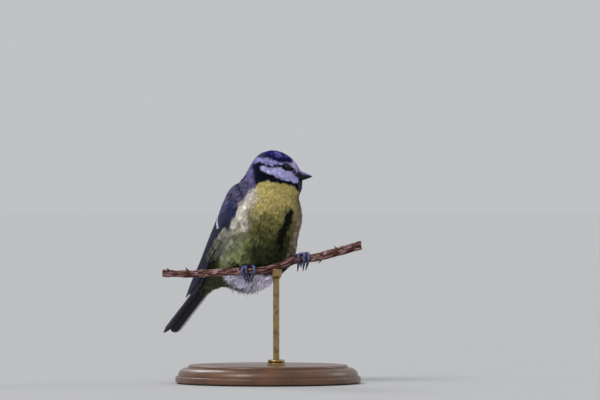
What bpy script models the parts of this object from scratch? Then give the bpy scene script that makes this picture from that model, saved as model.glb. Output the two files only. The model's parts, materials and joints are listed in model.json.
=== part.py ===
"""Blue tit, life size, perched on a cut twig that a rod holds over a round base.

Lengths in the named values are millimetres; the meshes are written in metres.
World frame: origin at the middle of the base's underside, +X along the twig, +Z up.
Body frame: forward to the breast, left, and up, measured from the perch's height.
Head frame: forward to the bill's tip, left, and up, measured from the head's middle.
"""
import math
from collections import namedtuple

import bmesh
import bpy
import numpy as np

MM = 0.001
GAP = 0.3                       # clearance between neighbouring solids

# Driving sizes of the bird
TAIL_LENGTH = 50.0
TAIL_COVERT_LENGTH = 18.4       # how much of the tail its coverts hide
TAIL_WIDTH = 11.6               # at the tip
TAIL_ROOT_WIDTH = 10.8
BILL_LENGTH = 6.6               # from the feathers to the tip
EYE_RADIUS = 1.65
TOE_RADIUS = 0.72
TARSUS_RADIUS = 0.75

# Pose
PERCH_HEIGHT = 55.0             # the middle of the twig above the floor
PERCH_Y = -7.0
BODY_YAW = math.radians(45)     # the breast's turn from +X towards -Y
HEAD_YAW = math.radians(7)
HEAD_PITCH = math.radians(-2)
TAIL_DROP = math.radians(43)

# Stand
BASE_RADIUS = 45.0
BASE_THICKNESS = 9.0
ROD_X = 4.0
ROD_RADIUS = 1.5
CUP_RADIUS, CUP_DEPTH = 2.6, 4.0
COLLAR_RADIUS, COLLAR_HEIGHT = 4.4, 2.6


# Frames

def turned_axes(yaw, pitch=0.0):
    """Rows are forward, left and up of a frame turned by yaw from +X to -Y, then nose up by pitch."""
    level = math.cos(pitch)
    forward = np.array([math.cos(yaw) * level, -math.sin(yaw) * level, math.sin(pitch)])
    left = np.array([math.sin(yaw), math.cos(yaw), 0.0])
    return np.array([forward, left, np.cross(forward, left)])


BODY_AXES = turned_axes(BODY_YAW)
BODY_ORIGIN = np.array([0.0, 0.0, PERCH_HEIGHT])
HEAD_AXES = turned_axes(HEAD_YAW, HEAD_PITCH)
HEAD_PLACE = (4.7, 0.0, 49.4)   # the head's middle, in the body frame


def from_body(points):
    """World places of points given in the body frame."""
    return np.asarray(points, float) @ BODY_AXES + BODY_ORIGIN


HEAD_ORIGIN = from_body(HEAD_PLACE)


def from_head(points):
    """World places of points given in the head frame."""
    return np.asarray(points, float) @ HEAD_AXES + HEAD_ORIGIN


def unit(vectors):
    vectors = np.asarray(vectors, float)
    return vectors / np.linalg.norm(vectors, axis=-1, keepdims=True)


def smooth_curve(points, count):
    """Evenly parted places on a Catmull-Rom curve through the points, with any number of columns."""
    points = np.asarray(points, float)
    padded = np.vstack([2 * points[0] - points[1], points, 2 * points[-1] - points[-2]])
    places = np.linspace(0, len(points) - 1 - 1e-9, count)
    first = places.astype(int)
    t = (places - first)[:, None]
    p0, p1, p2, p3 = (padded[first + step] for step in range(4))
    cubic = (3 * p1 - p0 - 3 * p2 + p3) * t**3
    square = (2 * p0 - 5 * p1 + 4 * p2 - p3) * t**2
    return 0.5 * (2 * p1 + (p2 - p0) * t + square + cubic)


# Scene and materials

def clear_scene():
    for thing in list(bpy.context.scene.objects):
        bpy.data.objects.remove(thing, do_unlink=True)


def material(name, colour, roughness, metallic=0.0):
    made = bpy.data.materials.new(name)
    made.use_nodes = True
    shader = made.node_tree.nodes["Principled BSDF"]
    shader.inputs["Base Color"].default_value = (*colour, 1.0)
    shader.inputs["Roughness"].default_value = roughness
    shader.inputs["Metallic"].default_value = metallic
    return made


def solid(name, points, faces, finish):
    """One object from world places in millimetres and its faces, all turned outwards."""
    mesh = bpy.data.meshes.new(name)
    mesh.from_pydata([tuple(p) for p in np.asarray(points) * MM], [], faces)
    shape = bmesh.new()
    shape.from_mesh(mesh)
    bmesh.ops.recalc_face_normals(shape, faces=shape.faces)
    shape.to_mesh(mesh)
    shape.free()
    mesh.shade_smooth()
    thing = bpy.data.objects.new(name, mesh)
    thing.data.materials.append(finish)
    bpy.context.scene.collection.objects.link(thing)
    return thing


def combine(thing, others, operation):
    """Boolean modifiers on thing; the others stay in the file as hidden wire guides."""
    for other in others:
        other.hide_render = True
        other.display_type = "WIRE"
        change = thing.modifiers.new(other.name, "BOOLEAN")
        change.operation = operation
        change.solver = "EXACT"
        change.object = other


# Lofted shapes

def ring_faces(ring_count, around):
    """Quads between neighbouring rings of points, with one face over each end ring."""
    faces = []
    for ring in range(ring_count - 1):
        for place in range(around):
            after = (place + 1) % around
            low, high = ring * around, (ring + 1) * around
            faces.append((low + place, low + after, high + after, high + place))
    last = (ring_count - 1) * around
    faces.append(tuple(range(around)))
    faces.append(tuple(range(last, last + around)))
    return faces


def path_frames(path):
    """Tangents and two cross directions along a path, carried on with no twist."""
    path = np.asarray(path, float)
    tangents = unit(np.gradient(path, axis=0))
    guide = np.array([0.0, 0.0, 1.0]) if abs(tangents[0][2]) < 0.8 else np.array([0.0, 1.0, 0.0])
    sides = []
    for tangent in tangents:
        guide = unit(guide - tangent * (guide @ tangent))
        sides.append(guide)
    sides = np.array(sides)
    return tangents, sides, np.cross(tangents, sides)


def tube(name, path, radii, around, finish):
    """A closed round tube along a path, its radius given at each of the path's points."""
    path = np.asarray(path, float)
    _, across, beside = path_frames(path)
    angles = np.linspace(0, 2 * math.pi, around, endpoint=False)
    circle = (across[:, None] * np.cos(angles)[:, None] + beside[:, None] * np.sin(angles)[:, None])
    points = path[:, None] + circle * np.broadcast_to(radii, len(path))[:, None, None]
    return solid(name, points.reshape(-1, 3), ring_faces(len(path), around), finish)


def turned(name, profile, centre, around, finish):
    """A closed solid of revolution about a vertical axis, from (radius, height) pairs, bottom first."""
    angles = np.linspace(0, 2 * math.pi, around, endpoint=False)
    points = [(centre[0] + radius * math.cos(a), centre[1] + radius * math.sin(a), height)
              for radius, height in profile for a in angles]
    thing = solid(name, points, ring_faces(len(profile), around), finish)
    thing.data.set_sharp_from_angle(angle=math.radians(35))
    return thing


def blade(name, middle, thickness, finish):
    """A closed thin solid about a grid of middle points (rows along, columns across)."""
    along = np.gradient(middle, axis=0)
    across = np.gradient(middle, axis=1)
    normals = unit(np.cross(along, across))
    rows, columns = middle.shape[:2]
    sides = [middle + normals * thickness[..., None] / 2, middle - normals * thickness[..., None] / 2]
    points = np.concatenate([side.reshape(-1, 3) for side in sides])
    count = rows * columns
    faces = []
    for row in range(rows - 1):
        for column in range(columns - 1):
            corner = row * columns + column
            quad = (corner, corner + 1, corner + columns + 1, corner + columns)
            faces += [quad, tuple(count + place for place in quad)]
    places = np.arange(count).reshape(rows, columns)
    border = np.concatenate([places[0], places[1:, -1], places[-1, -2::-1], places[-2:0:-1, 0]])
    for place, after in zip(border.tolist(), np.roll(border, -1).tolist()):
        faces.append((place, after, after + count, place + count))
    return solid(name, points, faces, finish)


# The twig's route, used by the perch, the feet and the hollow that it presses in the belly

TWIG_START, TWIG_END = -51.0, 45.0
TWIG_HEIGHTS = [(-57.0, -1.2), (-45.0, -1.7), (-34.0, -1.8), (-24.0, -1.1), (-14.0, -0.7), (-5.0, -0.3),
                (2.0, 1.0), (8.0, 3.0), (13.0, 4.8), (19.0, 5.5), (25.0, 6.6), (34.0, 9.0), (46.0, 12.4)]
TWIG_SAMPLES = 36
TWIG_RADIUS, TWIG_GROWTH = 1.65, 0.35   # at its thin end, and what the thick end adds
TWIG_SWELLING = 0.12            # how far its low swellings stand out
TWIG_SWAY = 0.35                # how far it wanders to the front and the back
FOOT_PLACES = {"right": -10.0, "left": 16.6}    # where each foot holds it
FOOT_ROOM = 5.5                 # how far along the twig the belly leaves room for a foot
TOE_REACH = 2.0                 # how far the toes stand out from the twig's surface


def twig_centre(x):
    """Places on the twig's middle line, which sways a little to the front and the back."""
    places, heights = smooth_curve(TWIG_HEIGHTS, 200).T
    x = np.asarray(x, float)
    y = PERCH_Y + TWIG_SWAY * np.sin(x * 0.11)
    return np.stack([x, y, PERCH_HEIGHT + np.interp(x, places, heights)], axis=-1)


def twig_radius(x):
    """Thin at its left end and thicker to the right, with a low swelling every 9 mm or so."""
    growth = TWIG_RADIUS + TWIG_GROWTH * np.clip((x + 5) / 50, 0, 1)
    return growth + TWIG_SWELLING * np.sin(x * 0.37 + 0.8) ** 6


def foot_nearness(x):
    """1 where a foot holds the twig, falling to 0 on either side of it."""
    away = np.min([np.abs(x - foot_x) for foot_x in FOOT_PLACES.values()], axis=0)
    return np.clip((FOOT_ROOM - away) / 2.0, 0, 1)


def twig_path():
    return twig_centre(np.linspace(TWIG_START, TWIG_END, TWIG_SAMPLES))


# The body as a smooth union of lobes, whose distance function every neighbour keeps clear of

Lobe = namedtuple("Lobe", "centre axes radii")
BLEND = 1.5                     # how softly neighbouring lobes flow together
GROOVE_CLEARANCE = 0.45


def pitched(axes, pitch):
    """The same frame with its forward axis raised by pitch."""
    forward, left, up = axes
    raised = forward * math.cos(pitch) + up * math.sin(pitch)
    return np.array([raised, left, np.cross(raised, left)])


def body_lobe(centre, radii, pitch_degrees=0.0):
    return Lobe(from_body(centre), pitched(BODY_AXES, math.radians(pitch_degrees)), np.array(radii, float))


def head_lobe(centre, radii, pitch_degrees=0.0):
    return Lobe(from_head(centre), pitched(HEAD_AXES, math.radians(pitch_degrees)), np.array(radii, float))


BODY_LOBES = [
    body_lobe((-7.4, 0, 14.0), (25.0, 19.4, 17.0), 62),         # belly
    body_lobe((-1.8, 0, 26.0), (17.5, 18.4, 17.0), 60),         # breast
    body_lobe((-5.5, 0, 34.0), (12.0, 14.6, 12.5), 60),         # shoulders and mantle
    body_lobe((-26.0, 0, 3.5), (14.5, 11.5, 8.0), 40),          # rump
    body_lobe((-38.4, 0, -4.3), (12.0, 6.4, 3.0), 43),          # tail coverts
    body_lobe((-14.0, 0, -1.0), (11.0, 11.5, 6.0), 25),         # vent
    body_lobe((0.5, 10.5, 7.0), (6.0, 5.0, 6.0), 60),           # left thigh
    body_lobe((-3.0, -10.5, 4.5), (5.0, 5.0, 5.0), 60),         # right thigh
]
HEAD_LOBES = [
    body_lobe((1.2, 0, 39.5), (11.0, 12.6, 12.0), 70),          # neck
    head_lobe((-5.0, 0, -3.6), (7.4, 8.0, 7.6)),                # nape
    head_lobe((-0.9, 0, 0.9), (9.4, 7.6, 7.7)),                 # crown
    head_lobe((4.6, 0, -1.6), (7.0, 6.0, 6.1)),                 # face
    head_lobe((3.2, 3.4, -3.0), (7.6, 4.6, 4.8)),               # left cheek
    head_lobe((3.2, -3.4, -3.0), (7.6, 4.6, 4.8)),              # right cheek
    head_lobe((7.2, 0, -8.6), (6.6, 6.0, 5.2)),                 # bib
]
LOBES = BODY_LOBES + HEAD_LOBES


def lobe_distance(points, lobe):
    local = (points - lobe.centre) @ lobe.axes.T
    near = np.linalg.norm(local / lobe.radii, axis=-1)
    steep = np.linalg.norm(local / lobe.radii**2, axis=-1)
    return near * (near - 1) / np.maximum(steep, 1e-9)


def path_distance(points, path):
    """Distance to the nearest place on a path of straight pieces."""
    start, step = path[:-1], np.diff(path, axis=0)
    offset = points[..., None, :] - start
    share = np.clip((offset * step).sum(-1) / (step**2).sum(-1), 0, 1)
    return np.linalg.norm(offset - share[..., None] * step, axis=-1).min(-1)


def body_distance(points):
    """Distance outside the bird's feathered outline, negative within it."""
    distances = np.array([lobe_distance(points, lobe) for lobe in LOBES])
    nearest = distances.min(0)
    union = nearest - BLEND * np.log(np.exp((nearest - distances) / BLEND).sum(0))
    x = points[..., 0]
    hollow = twig_radius(x) + GROOVE_CLEARANCE + TOE_REACH * foot_nearness(x)
    return np.maximum(union, hollow - path_distance(points, twig_path()))


def body_slope(points, step=0.05):
    """The direction straight out of the body."""
    slope = [body_distance(points + shift) - body_distance(points - shift) for shift in np.eye(3) * step]
    return unit(np.stack(slope, axis=-1))


def lifted_clear(points, clearance):
    """Points moved straight out until they stand at least the clearance off the body."""
    for _ in range(4):
        short = np.maximum(clearance - body_distance(points), 0)
        points = points + body_slope(points) * short[..., None]
    return points


def reach_to_outline(origins, rays, far):
    """How far each ray runs from inside the body before it leaves the outline."""
    near = np.zeros(rays.shape[:-1])
    far = np.full(rays.shape[:-1], far)
    for _ in range(24):
        middle = (near + far) / 2
        inside = body_distance(origins + rays * middle[..., None]) < 0
        near, far = np.where(inside, middle, near), np.where(inside, far, middle)
    return near


# Flesh, lofted along a spine from the tail coverts to the crown and parted by thin cuts

# a Bezier curve in the body's middle plane, forward and up: along the tail's root, then upright
SPINE = [(-46.6, -9.6), (-27.6, 8.1), (3.6, 20.0), (4.2, 59.2)]
SPINE_IN_HEAD = 0.85            # a share of it that is surely within the head
RINGS_AROUND = 32
FLESH_REACH = 45.0              # further than any place of the outline is from the spine
FLESH_START = 0.012
# each part's name, the share of the spine where it ends, and its number of rings
FLESH_PARTS = [("bird_rump", 0.30, 8), ("bird_belly", 0.60, 10), ("bird_breast", 0.75, 6),
               ("bird_neck", 0.815, 4), ("bird_head", 1.0, 13)]


def spine_point(share):
    share = np.asarray(share, float)[..., None]
    rest = 1 - share
    start, leave, arrive, end = np.array(SPINE)
    place = start * rest**3 + 3 * leave * rest**2 * share + 3 * arrive * rest * share**2 + end * share**3
    return from_body(np.stack([place[..., 0], np.zeros_like(place[..., 0]), place[..., 1]], axis=-1))


def spine_share_step(share, length):
    """The change in share that moves a given length along the spine."""
    speed = np.linalg.norm(spine_point(share + 0.005) - spine_point(share - 0.005)) / 0.01
    return length / speed


def crown_share():
    """The share of the spine where it leaves the head at the crown."""
    shares = np.linspace(SPINE_IN_HEAD, 1, 2000)
    return shares[body_distance(spine_point(shares)) < 0].max()


def flesh_rings(shares):
    """For each share of the spine, the ring of places where its cross plane meets the outline."""
    centres = spine_point(shares)
    tangents = unit(spine_point(shares + 0.005) - spine_point(shares - 0.005))
    left = np.broadcast_to(BODY_AXES[1], tangents.shape)
    front = np.cross(left, tangents)
    angles = np.linspace(0, 2 * math.pi, RINGS_AROUND, endpoint=False)[:, None]
    rays = front[:, None] * np.cos(angles) + left[:, None] * np.sin(angles)
    reach = reach_to_outline(centres[:, None], rays, FLESH_REACH)
    return centres[:, None] + rays * reach[..., None]


def make_flesh(finishes):
    made = {}
    start, crown = FLESH_START, crown_share()
    for name, end, count in FLESH_PARTS:
        last = end == 1.0
        if last:
            # rings crowd together towards the crown, where the outline turns over
            turn = np.linspace(0, math.pi / 2, count + 1)[:-1]
            shares = start + (crown - start) * np.sin(turn)
        else:
            shares = np.linspace(start, end - spine_share_step(end, GAP / 2), count)
        rings = flesh_rings(shares)
        points = rings.reshape(-1, 3)
        faces = ring_faces(count, RINGS_AROUND)
        if last:
            points = np.vstack([points, spine_point(np.array(crown))])
            base = (count - 1) * RINGS_AROUND
            faces[-1:] = [(base + place, base + (place + 1) % RINGS_AROUND, len(points) - 1)
                          for place in range(RINGS_AROUND)]
        made[name] = solid(name, points, faces, finishes[name])
        start = end + spine_share_step(end, GAP / 2)
    return made


# Eyes and bill, each let into the head by a socket

EYE_PLACE = (7.4, 0.9)          # forward and up in the head frame
EYE_PROUD = 0.45                # how far the eye stands out of the feathers
EYE_SEGMENTS = 16
BILL_ROOT, BILL_FEATHER_LINE = 9.4, 12.0
BILL_TIP = BILL_FEATHER_LINE + BILL_LENGTH
BILL_GAPE = -3.2                # height of the line between the mandibles
BILL_DROOP = 0.2                # how far the tip's gape line has sunk
BILL_HALF_WIDTH, BILL_TOP, BILL_BOTTOM = 2.25, 2.6, 2.9     # at its root, round the gape


def eye_centre(side):
    """The middle of an eyeball whose front stands a little out of the head; side is 1 for left."""
    middle = from_head((EYE_PLACE[0], 0.0, EYE_PLACE[1]))
    outward = side * HEAD_AXES[1]
    surface = middle + outward * reach_to_outline(middle, outward, FLESH_REACH)
    return surface - body_slope(surface[None])[0] * (EYE_RADIUS - EYE_PROUD)


def ball(name, centre, radius, finish):
    mesh = bpy.data.meshes.new(name)
    shape = bmesh.new()
    rings = EYE_SEGMENTS // 2
    bmesh.ops.create_uvsphere(shape, u_segments=EYE_SEGMENTS, v_segments=rings, radius=radius * MM)
    bmesh.ops.translate(shape, verts=shape.verts, vec=centre * MM)
    shape.to_mesh(mesh)
    shape.free()
    mesh.shade_smooth()
    thing = bpy.data.objects.new(name, mesh)
    thing.data.materials.append(finish)
    bpy.context.scene.collection.objects.link(thing)
    return thing


def bill_section(share):
    """Half width, height above the gape and height below it, from the root to the tip."""
    half_width = BILL_HALF_WIDTH * (1 - share) ** 0.75 + 0.22
    above = BILL_TOP * (1 - share**1.4) + 0.12
    below = BILL_BOTTOM * (1 - share**1.1) + 0.08
    return half_width, above, below


def mandible(name, side, length_share, grown, finish):
    """One mandible, a tapering half cone; side is 1 above the gape, -1 below it, 0 for both at once."""
    stations, around = 10, 12
    points = []
    for share in np.linspace(0, length_share, stations):
        half_width, above, below = bill_section(share)
        forward = BILL_ROOT + (BILL_TIP - BILL_ROOT) * share
        gape = BILL_GAPE - BILL_DROOP * share**2
        for angle in np.linspace(0, 2 * math.pi, around, endpoint=False):
            across, rise = math.cos(angle), math.sin(angle)
            if side == 0:
                height = (above if rise > 0 else below) + grown
                points.append((forward, across * (half_width + grown), gape + rise * height))
                continue
            # half of the points lie on the flat face along the gape
            height = max(rise * side, 0) * (above if side > 0 else below)
            points.append((forward, across * half_width, gape + side * (GAP / 2 + height)))
    return solid(name, from_head(points), ring_faces(stations, around), finish)


# Wings and tail

# the wing's middle line in the body frame, with forward, outward and up in each point
WING_LINE = [(-6.0, 13.4, 35.6), (-11.3, 15.9, 30.6), (-18.0, 16.4, 22.6), (-27.2, 14.9, 11.2),
             (-35.4, 12.0, 2.2), (-43.4, 8.8, -5.6), (-51.5, 4.9, -13.2)]
WING_WIDTHS = [9.0, 17.5, 20.5, 18.5, 14.5, 9.0, 3.8]
WING_INNER = 1.45               # how far the inner half reaches, as a share of the leading half
WING_TURN = [20, 32, 42, 50, 60, 72, 82]        # degrees that its face turns from the side to the back
WING_CURVE = 0.10                               # how much the wing bows across its width
WING_ROWS, WING_COLUMNS = 21, 8
WING_THICKNESS = 1.7


def wing_middle(side):
    """The wing's middle surface as world places, rows from the bend to the tip."""
    line = smooth_curve(WING_LINE, WING_ROWS)
    widths = smooth_curve(np.array(WING_WIDTHS)[:, None], WING_ROWS)[:, 0]
    turns = np.radians(smooth_curve(np.array(WING_TURN, float)[:, None], WING_ROWS)[:, 0])
    facing = np.column_stack([-np.sin(turns), np.cos(turns), np.zeros(WING_ROWS)])
    tangents = unit(np.gradient(line, axis=0))
    facing = unit(facing - tangents * (facing * tangents).sum(1)[:, None])
    chord = unit(np.cross(facing, tangents))
    across = np.linspace(-1, WING_INNER, WING_COLUMNS)[:, None]
    grid = line[:, None] + chord[:, None] * across * widths[:, None, None] / 2
    grid = grid - facing[:, None] * across**2 * widths[:, None, None] * WING_CURVE
    grid[..., 1] *= side
    return from_body(grid)


def wing_thickness():
    """Thick over the arm and thin at the edges and the tip."""
    along = np.linspace(0, 1, WING_ROWS)[:, None]
    across = np.linspace(-1, 1, WING_COLUMNS)[None]
    full = WING_THICKNESS * (1 - 0.5 * along)
    return np.maximum(full * (1 - 0.55 * across**4), 0.6)


def make_wing(name, side, finish):
    middle, thickness = wing_middle(side), wing_thickness()
    middle = lifted_clear(middle, GAP + 0.15 + thickness / 2)
    return blade(name, middle, thickness, finish)


TAIL_ROWS, TAIL_COLUMNS = 12, 11
TAIL_ROOT = (-33.6, 0, 3.0)
TAIL_NOTCH = 1.6
TAIL_CORNER = 0.7               # how much its outer corners are rounded off
TAIL_THICKNESS, TAIL_TIP_THICKNESS = 1.5, 0.8
TAIL_ARCH = 1.3                 # how far the outer feathers lie below the middle ones


def make_tail(finish):
    """The closed tail beyond its coverts: a shallow arch across, a little notched at its tip."""
    backward = np.array([-math.cos(TAIL_DROP), 0, -math.sin(TAIL_DROP)])
    upper = np.array([-math.sin(TAIL_DROP), 0, math.cos(TAIL_DROP)])
    across = np.linspace(-1, 1, TAIL_COLUMNS)[None, :, None]
    along = np.linspace(0, 1, TAIL_ROWS)[:, None, None]
    reach = TAIL_LENGTH - TAIL_NOTCH * (1 - np.abs(across)) - TAIL_CORNER * across**6
    lengths = TAIL_COVERT_LENGTH + (reach - TAIL_COVERT_LENGTH) * along
    width = TAIL_ROOT_WIDTH + (TAIL_WIDTH - TAIL_ROOT_WIDTH) * along**0.8
    sideways = across * width / 2 * np.array([0, 1, 0])
    grid = np.array(TAIL_ROOT) + lengths * backward + sideways - upper * TAIL_ARCH * across**2
    thickness = TAIL_THICKNESS + (TAIL_TIP_THICKNESS - TAIL_THICKNESS) * along
    thickness = thickness * (1 - 0.45 * across**4)
    return blade("bird_tail", from_body(grid), thickness[..., 0], finish)


# Legs, toes and claws

Foot = namedtuple("Foot", "fronts tips back")
# x of the three front toes on the twig's front, of their claws' tips, and of the hind toe
FEET = {"right": Foot((-12.4, -10.6, -6.7), (-10.3, -9.2, -8.3), -8.8),
        "left": Foot((14.9, 17.6, 19.6), (14.4, 17.0, 18.4), 16.0)}
TARSUS_ENDS = {"right": (-10.6, -0.4, 5.6), "left": (9.4, 4.6, 5.7)}    # hidden ends, up from the perch
FRONT_TOE_STRAIGHT = 2.6        # the part of a front toe that hangs below the twig
TOE_SPACING = 0.45              # between the front toes' roots
CLAW_LENGTH, HIND_CLAW_LENGTH = 3.6, 2.9
CLAW_RADIUS = 0.55
CLAW_BEND = math.radians(45)
SHANK_STATIONS = 4


def around_twig(x, angle, distance):
    """A place round the twig at an angle from its top towards the front, off its middle line."""
    return twig_centre(x) + np.array([0, -distance * math.sin(angle), distance * math.cos(angle)])


def toe_path(start_x, front_x, end_x, first_angle, last_angle, straight):
    """From the foot's joint over the twig to last_angle, then straight on."""
    path = []
    for share in np.linspace(0, 1, 8):
        x = start_x + (front_x - start_x) * min(1.0, share * 1.8) ** 0.8
        off = float(twig_radius(x)) + GAP + 0.05 + TOE_RADIUS
        path.append(around_twig(x, first_angle + (last_angle - first_angle) * share, off))
    onward = unit(path[-1] - path[-2])
    end = path[-1] + onward * straight
    end[0] = end_x
    path.append((path[-1] + end) / 2)
    path.append(end)
    return np.array(path)


def claw_path(toe, inward, length):
    """A hooked claw from the toe's end, its curve bending towards the inward direction."""
    onward = unit(toe[-1] - toe[-2])
    shares = np.linspace(0, 1, 6)[:, None]
    turn = shares * CLAW_BEND
    return toe[-1] + onward * GAP + length * shares * (onward * np.cos(turn) + inward * np.sin(turn))


def make_foot(side, finish, claw_finish):
    foot, joint_x = FEET[side], FOOT_PLACES[side]
    behind = np.array([0, 1.0, 0])
    toes, paths = [], []
    for number, (front_x, tip_x) in enumerate(zip(foot.fronts, foot.tips)):
        start_x = joint_x + TOE_SPACING * (number - 1)
        first = math.radians(-26 - 5 * number)
        end_x = front_x + (tip_x - front_x) * 0.6
        path = toe_path(start_x, front_x, end_x, first, math.radians(105), FRONT_TOE_STRAIGHT)
        paths.append((path, behind, CLAW_LENGTH))
        radii = TOE_RADIUS * np.linspace(1.12, 0.8, len(path))
        toes.append(tube(f"toe_{side}_{number}", path, radii, 6, finish))
    back = toe_path(joint_x + 0.13, foot.back, foot.back, math.radians(-9), math.radians(-140), 0.5)
    paths.append((back, -behind, HIND_CLAW_LENGTH))
    radii = TOE_RADIUS * np.linspace(1.15, 0.85, len(back))
    toes.append(tube(f"toe_{side}_back", back, radii, 6, finish))

    joint = paths[1][0][0] + (0, 0, 0.12)
    end = np.array(TARSUS_ENDS[side]) + (0, 0, PERCH_HEIGHT)
    shares = np.linspace(0, 1, SHANK_STATIONS)[:, None]
    shank = joint + (end - joint) * shares
    radii = TARSUS_RADIUS * np.array([1.3, 1.1, 1.0, 1.0])
    made = tube(f"bird_leg_{side}", shank, radii, 8, finish)
    combine(made, toes, "UNION")
    hole = shank + shares * unit(end - joint) * GAP
    sockets = [tube(f"leg_socket_{side}", hole, radii + GAP, 8, finish)]
    room = [around_twig(x, 0, 0) for x in np.linspace(joint_x - 3.8, joint_x + 4.6, 5)]
    reach = float(twig_radius(joint_x)) + TOE_REACH + GAP
    sockets.append(tube(f"foot_room_{side}", room, reach, 14, finish))
    for number, path in enumerate(paths, start=1):
        claw = claw_path(*path)
        tapered = CLAW_RADIUS * np.linspace(1, 0.3, len(claw))
        tube(f"bird_claw_{side}_{number}", claw, tapered, 5, claw_finish)
    return sockets


# Perch and stand

STUBS = [(-47.5, 40), (-44.0, -70), (-38.5, 20), (-31.0, 110), (-20.5, 60), (9.5, -120), (26.0, 150),
         (33.5, 30), (40.0, 100)]       # place along the twig and angle round it, in degrees
STUB_RISE = 1.7                 # how far each thorn-like stub stands off the bark
STUB_RADII = [0.75, 0.5, 0.22]


def make_twig(finish):
    path = twig_path()
    made = tube("perch_twig", path, twig_radius(path[:, 0]), 10, finish)
    stubs = []
    for number, (x, degrees) in enumerate(STUBS):
        angle = math.radians(degrees)
        radius = float(twig_radius(x))
        foot = around_twig(x, angle, radius - 0.6)
        tip = around_twig(x - 1.3, angle, radius + STUB_RISE)
        stub = np.array([foot, (foot + tip) / 2, tip])
        stubs.append(tube(f"stub_{number}", stub, STUB_RADII, 5, finish))
    combine(made, stubs, "UNION")
    return made


def make_stand(wood, brass, twig_bed):
    foot = 0.6                  # radius of the small round-over at the bottom edge
    profile = [(BASE_RADIUS - foot, 0.0), (BASE_RADIUS, foot), (BASE_RADIUS, 3.0)]
    # a hollow moulding from the foot's edge up to the flat top
    for share in np.linspace(0, 1, 6):
        angle = share * math.pi / 2
        profile.append((BASE_RADIUS - 1.2 - 4.2 * (1 - math.cos(angle)), 3.4 + 4.2 * math.sin(angle)))
    profile += [(BASE_RADIUS - 6.4, BASE_THICKNESS - 0.5), (BASE_RADIUS - 7.0, BASE_THICKNESS)]
    turned("stand_base", profile, (0, 0), 36, wood)

    *centre, twig_middle = twig_centre(ROD_X)
    collar_bottom = BASE_THICKNESS + GAP
    collar_top = collar_bottom + COLLAR_HEIGHT
    collar = [(COLLAR_RADIUS, collar_bottom), (COLLAR_RADIUS, collar_bottom + 1.0),
              (COLLAR_RADIUS - 0.8, collar_top - 0.4), (COLLAR_RADIUS - 1.4, collar_top)]
    turned("stand_collar", collar, centre, 24, brass)
    twig_bottom = twig_middle - float(twig_radius(ROD_X))
    cup_bottom = twig_bottom - CUP_DEPTH
    rod = [(ROD_RADIUS, collar_top + GAP), (ROD_RADIUS, cup_bottom - GAP)]
    turned("stand_rod", rod, centre, 20, brass)
    cup = [(ROD_RADIUS + 0.3, cup_bottom), (CUP_RADIUS, cup_bottom + 1.4), (CUP_RADIUS, twig_bottom + 0.8)]
    holder = turned("stand_cup", cup, centre, 20, brass)
    combine(holder, [twig_bed], "DIFFERENCE")


def main():
    clear_scene()
    yellow = material("breast yellow", (0.62, 0.58, 0.22), 0.9)
    green = material("mantle green", (0.36, 0.36, 0.32), 0.9)
    blue = material("crown blue", (0.06, 0.09, 0.42), 0.8)
    wing_blue = material("wing blue", (0.10, 0.12, 0.26), 0.7)
    tail_grey = material("tail slate", (0.12, 0.12, 0.16), 0.7)
    horn = material("bill black", (0.05, 0.05, 0.07), 0.35)
    leg = material("leg blue grey", (0.12, 0.13, 0.22), 0.5)
    eye = material("eye", (0.01, 0.008, 0.006), 0.05)
    bark = material("bark", (0.25, 0.12, 0.09), 0.9)
    wood = material("turned wood", (0.35, 0.2, 0.1), 0.4)
    brass = material("brass", (0.7, 0.52, 0.25), 0.3, 1.0)

    finishes = {"bird_rump": green, "bird_belly": yellow, "bird_breast": yellow, "bird_neck": blue,
                "bird_head": blue}
    flesh = make_flesh(finishes)

    sockets = [mandible("bill_socket", 0, 0.9, GAP, horn)]
    leg_sockets = []
    for name, side in (("left", 1), ("right", -1)):
        centre = eye_centre(side)
        ball(f"bird_eye_{name}", centre, EYE_RADIUS, eye)
        sockets.append(ball(f"eye_socket_{name}", centre, EYE_RADIUS + GAP, eye))
        make_wing(f"bird_wing_{name}", side, wing_blue)
        leg_sockets += make_foot(name, leg, horn)
    combine(flesh["bird_head"], sockets, "DIFFERENCE")
    path = twig_path()
    twig_bed = tube("twig_bed", path, twig_radius(path[:, 0]) + GAP, 12, bark)
    combine(flesh["bird_belly"], [twig_bed] + leg_sockets, "DIFFERENCE")
    mandible("bird_bill_upper", 1, 1.0, 0, horn)
    mandible("bird_bill_lower", -1, 0.94, 0, horn)

    make_tail(tail_grey)
    make_twig(bark)
    make_stand(wood, brass, twig_bed)


main()
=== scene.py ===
"""Blue tit on its cut twig: skin, coat, single wing and tail feathers, bill, eyes, feet, bark and turned stand.

Lengths are millimetres until a mesh is made, which turns them into metres.
Body frame: forward to the breast, left, and up, measured from the perch's height.
Head frame: forward to the bill's tip, left, and up, measured from the head's middle.
"""

import json
import math

import bmesh
import bpy
import numpy as np
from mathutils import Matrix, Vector
from mathutils.bvhtree import BVHTree
from mathutils.kdtree import KDTree

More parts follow.
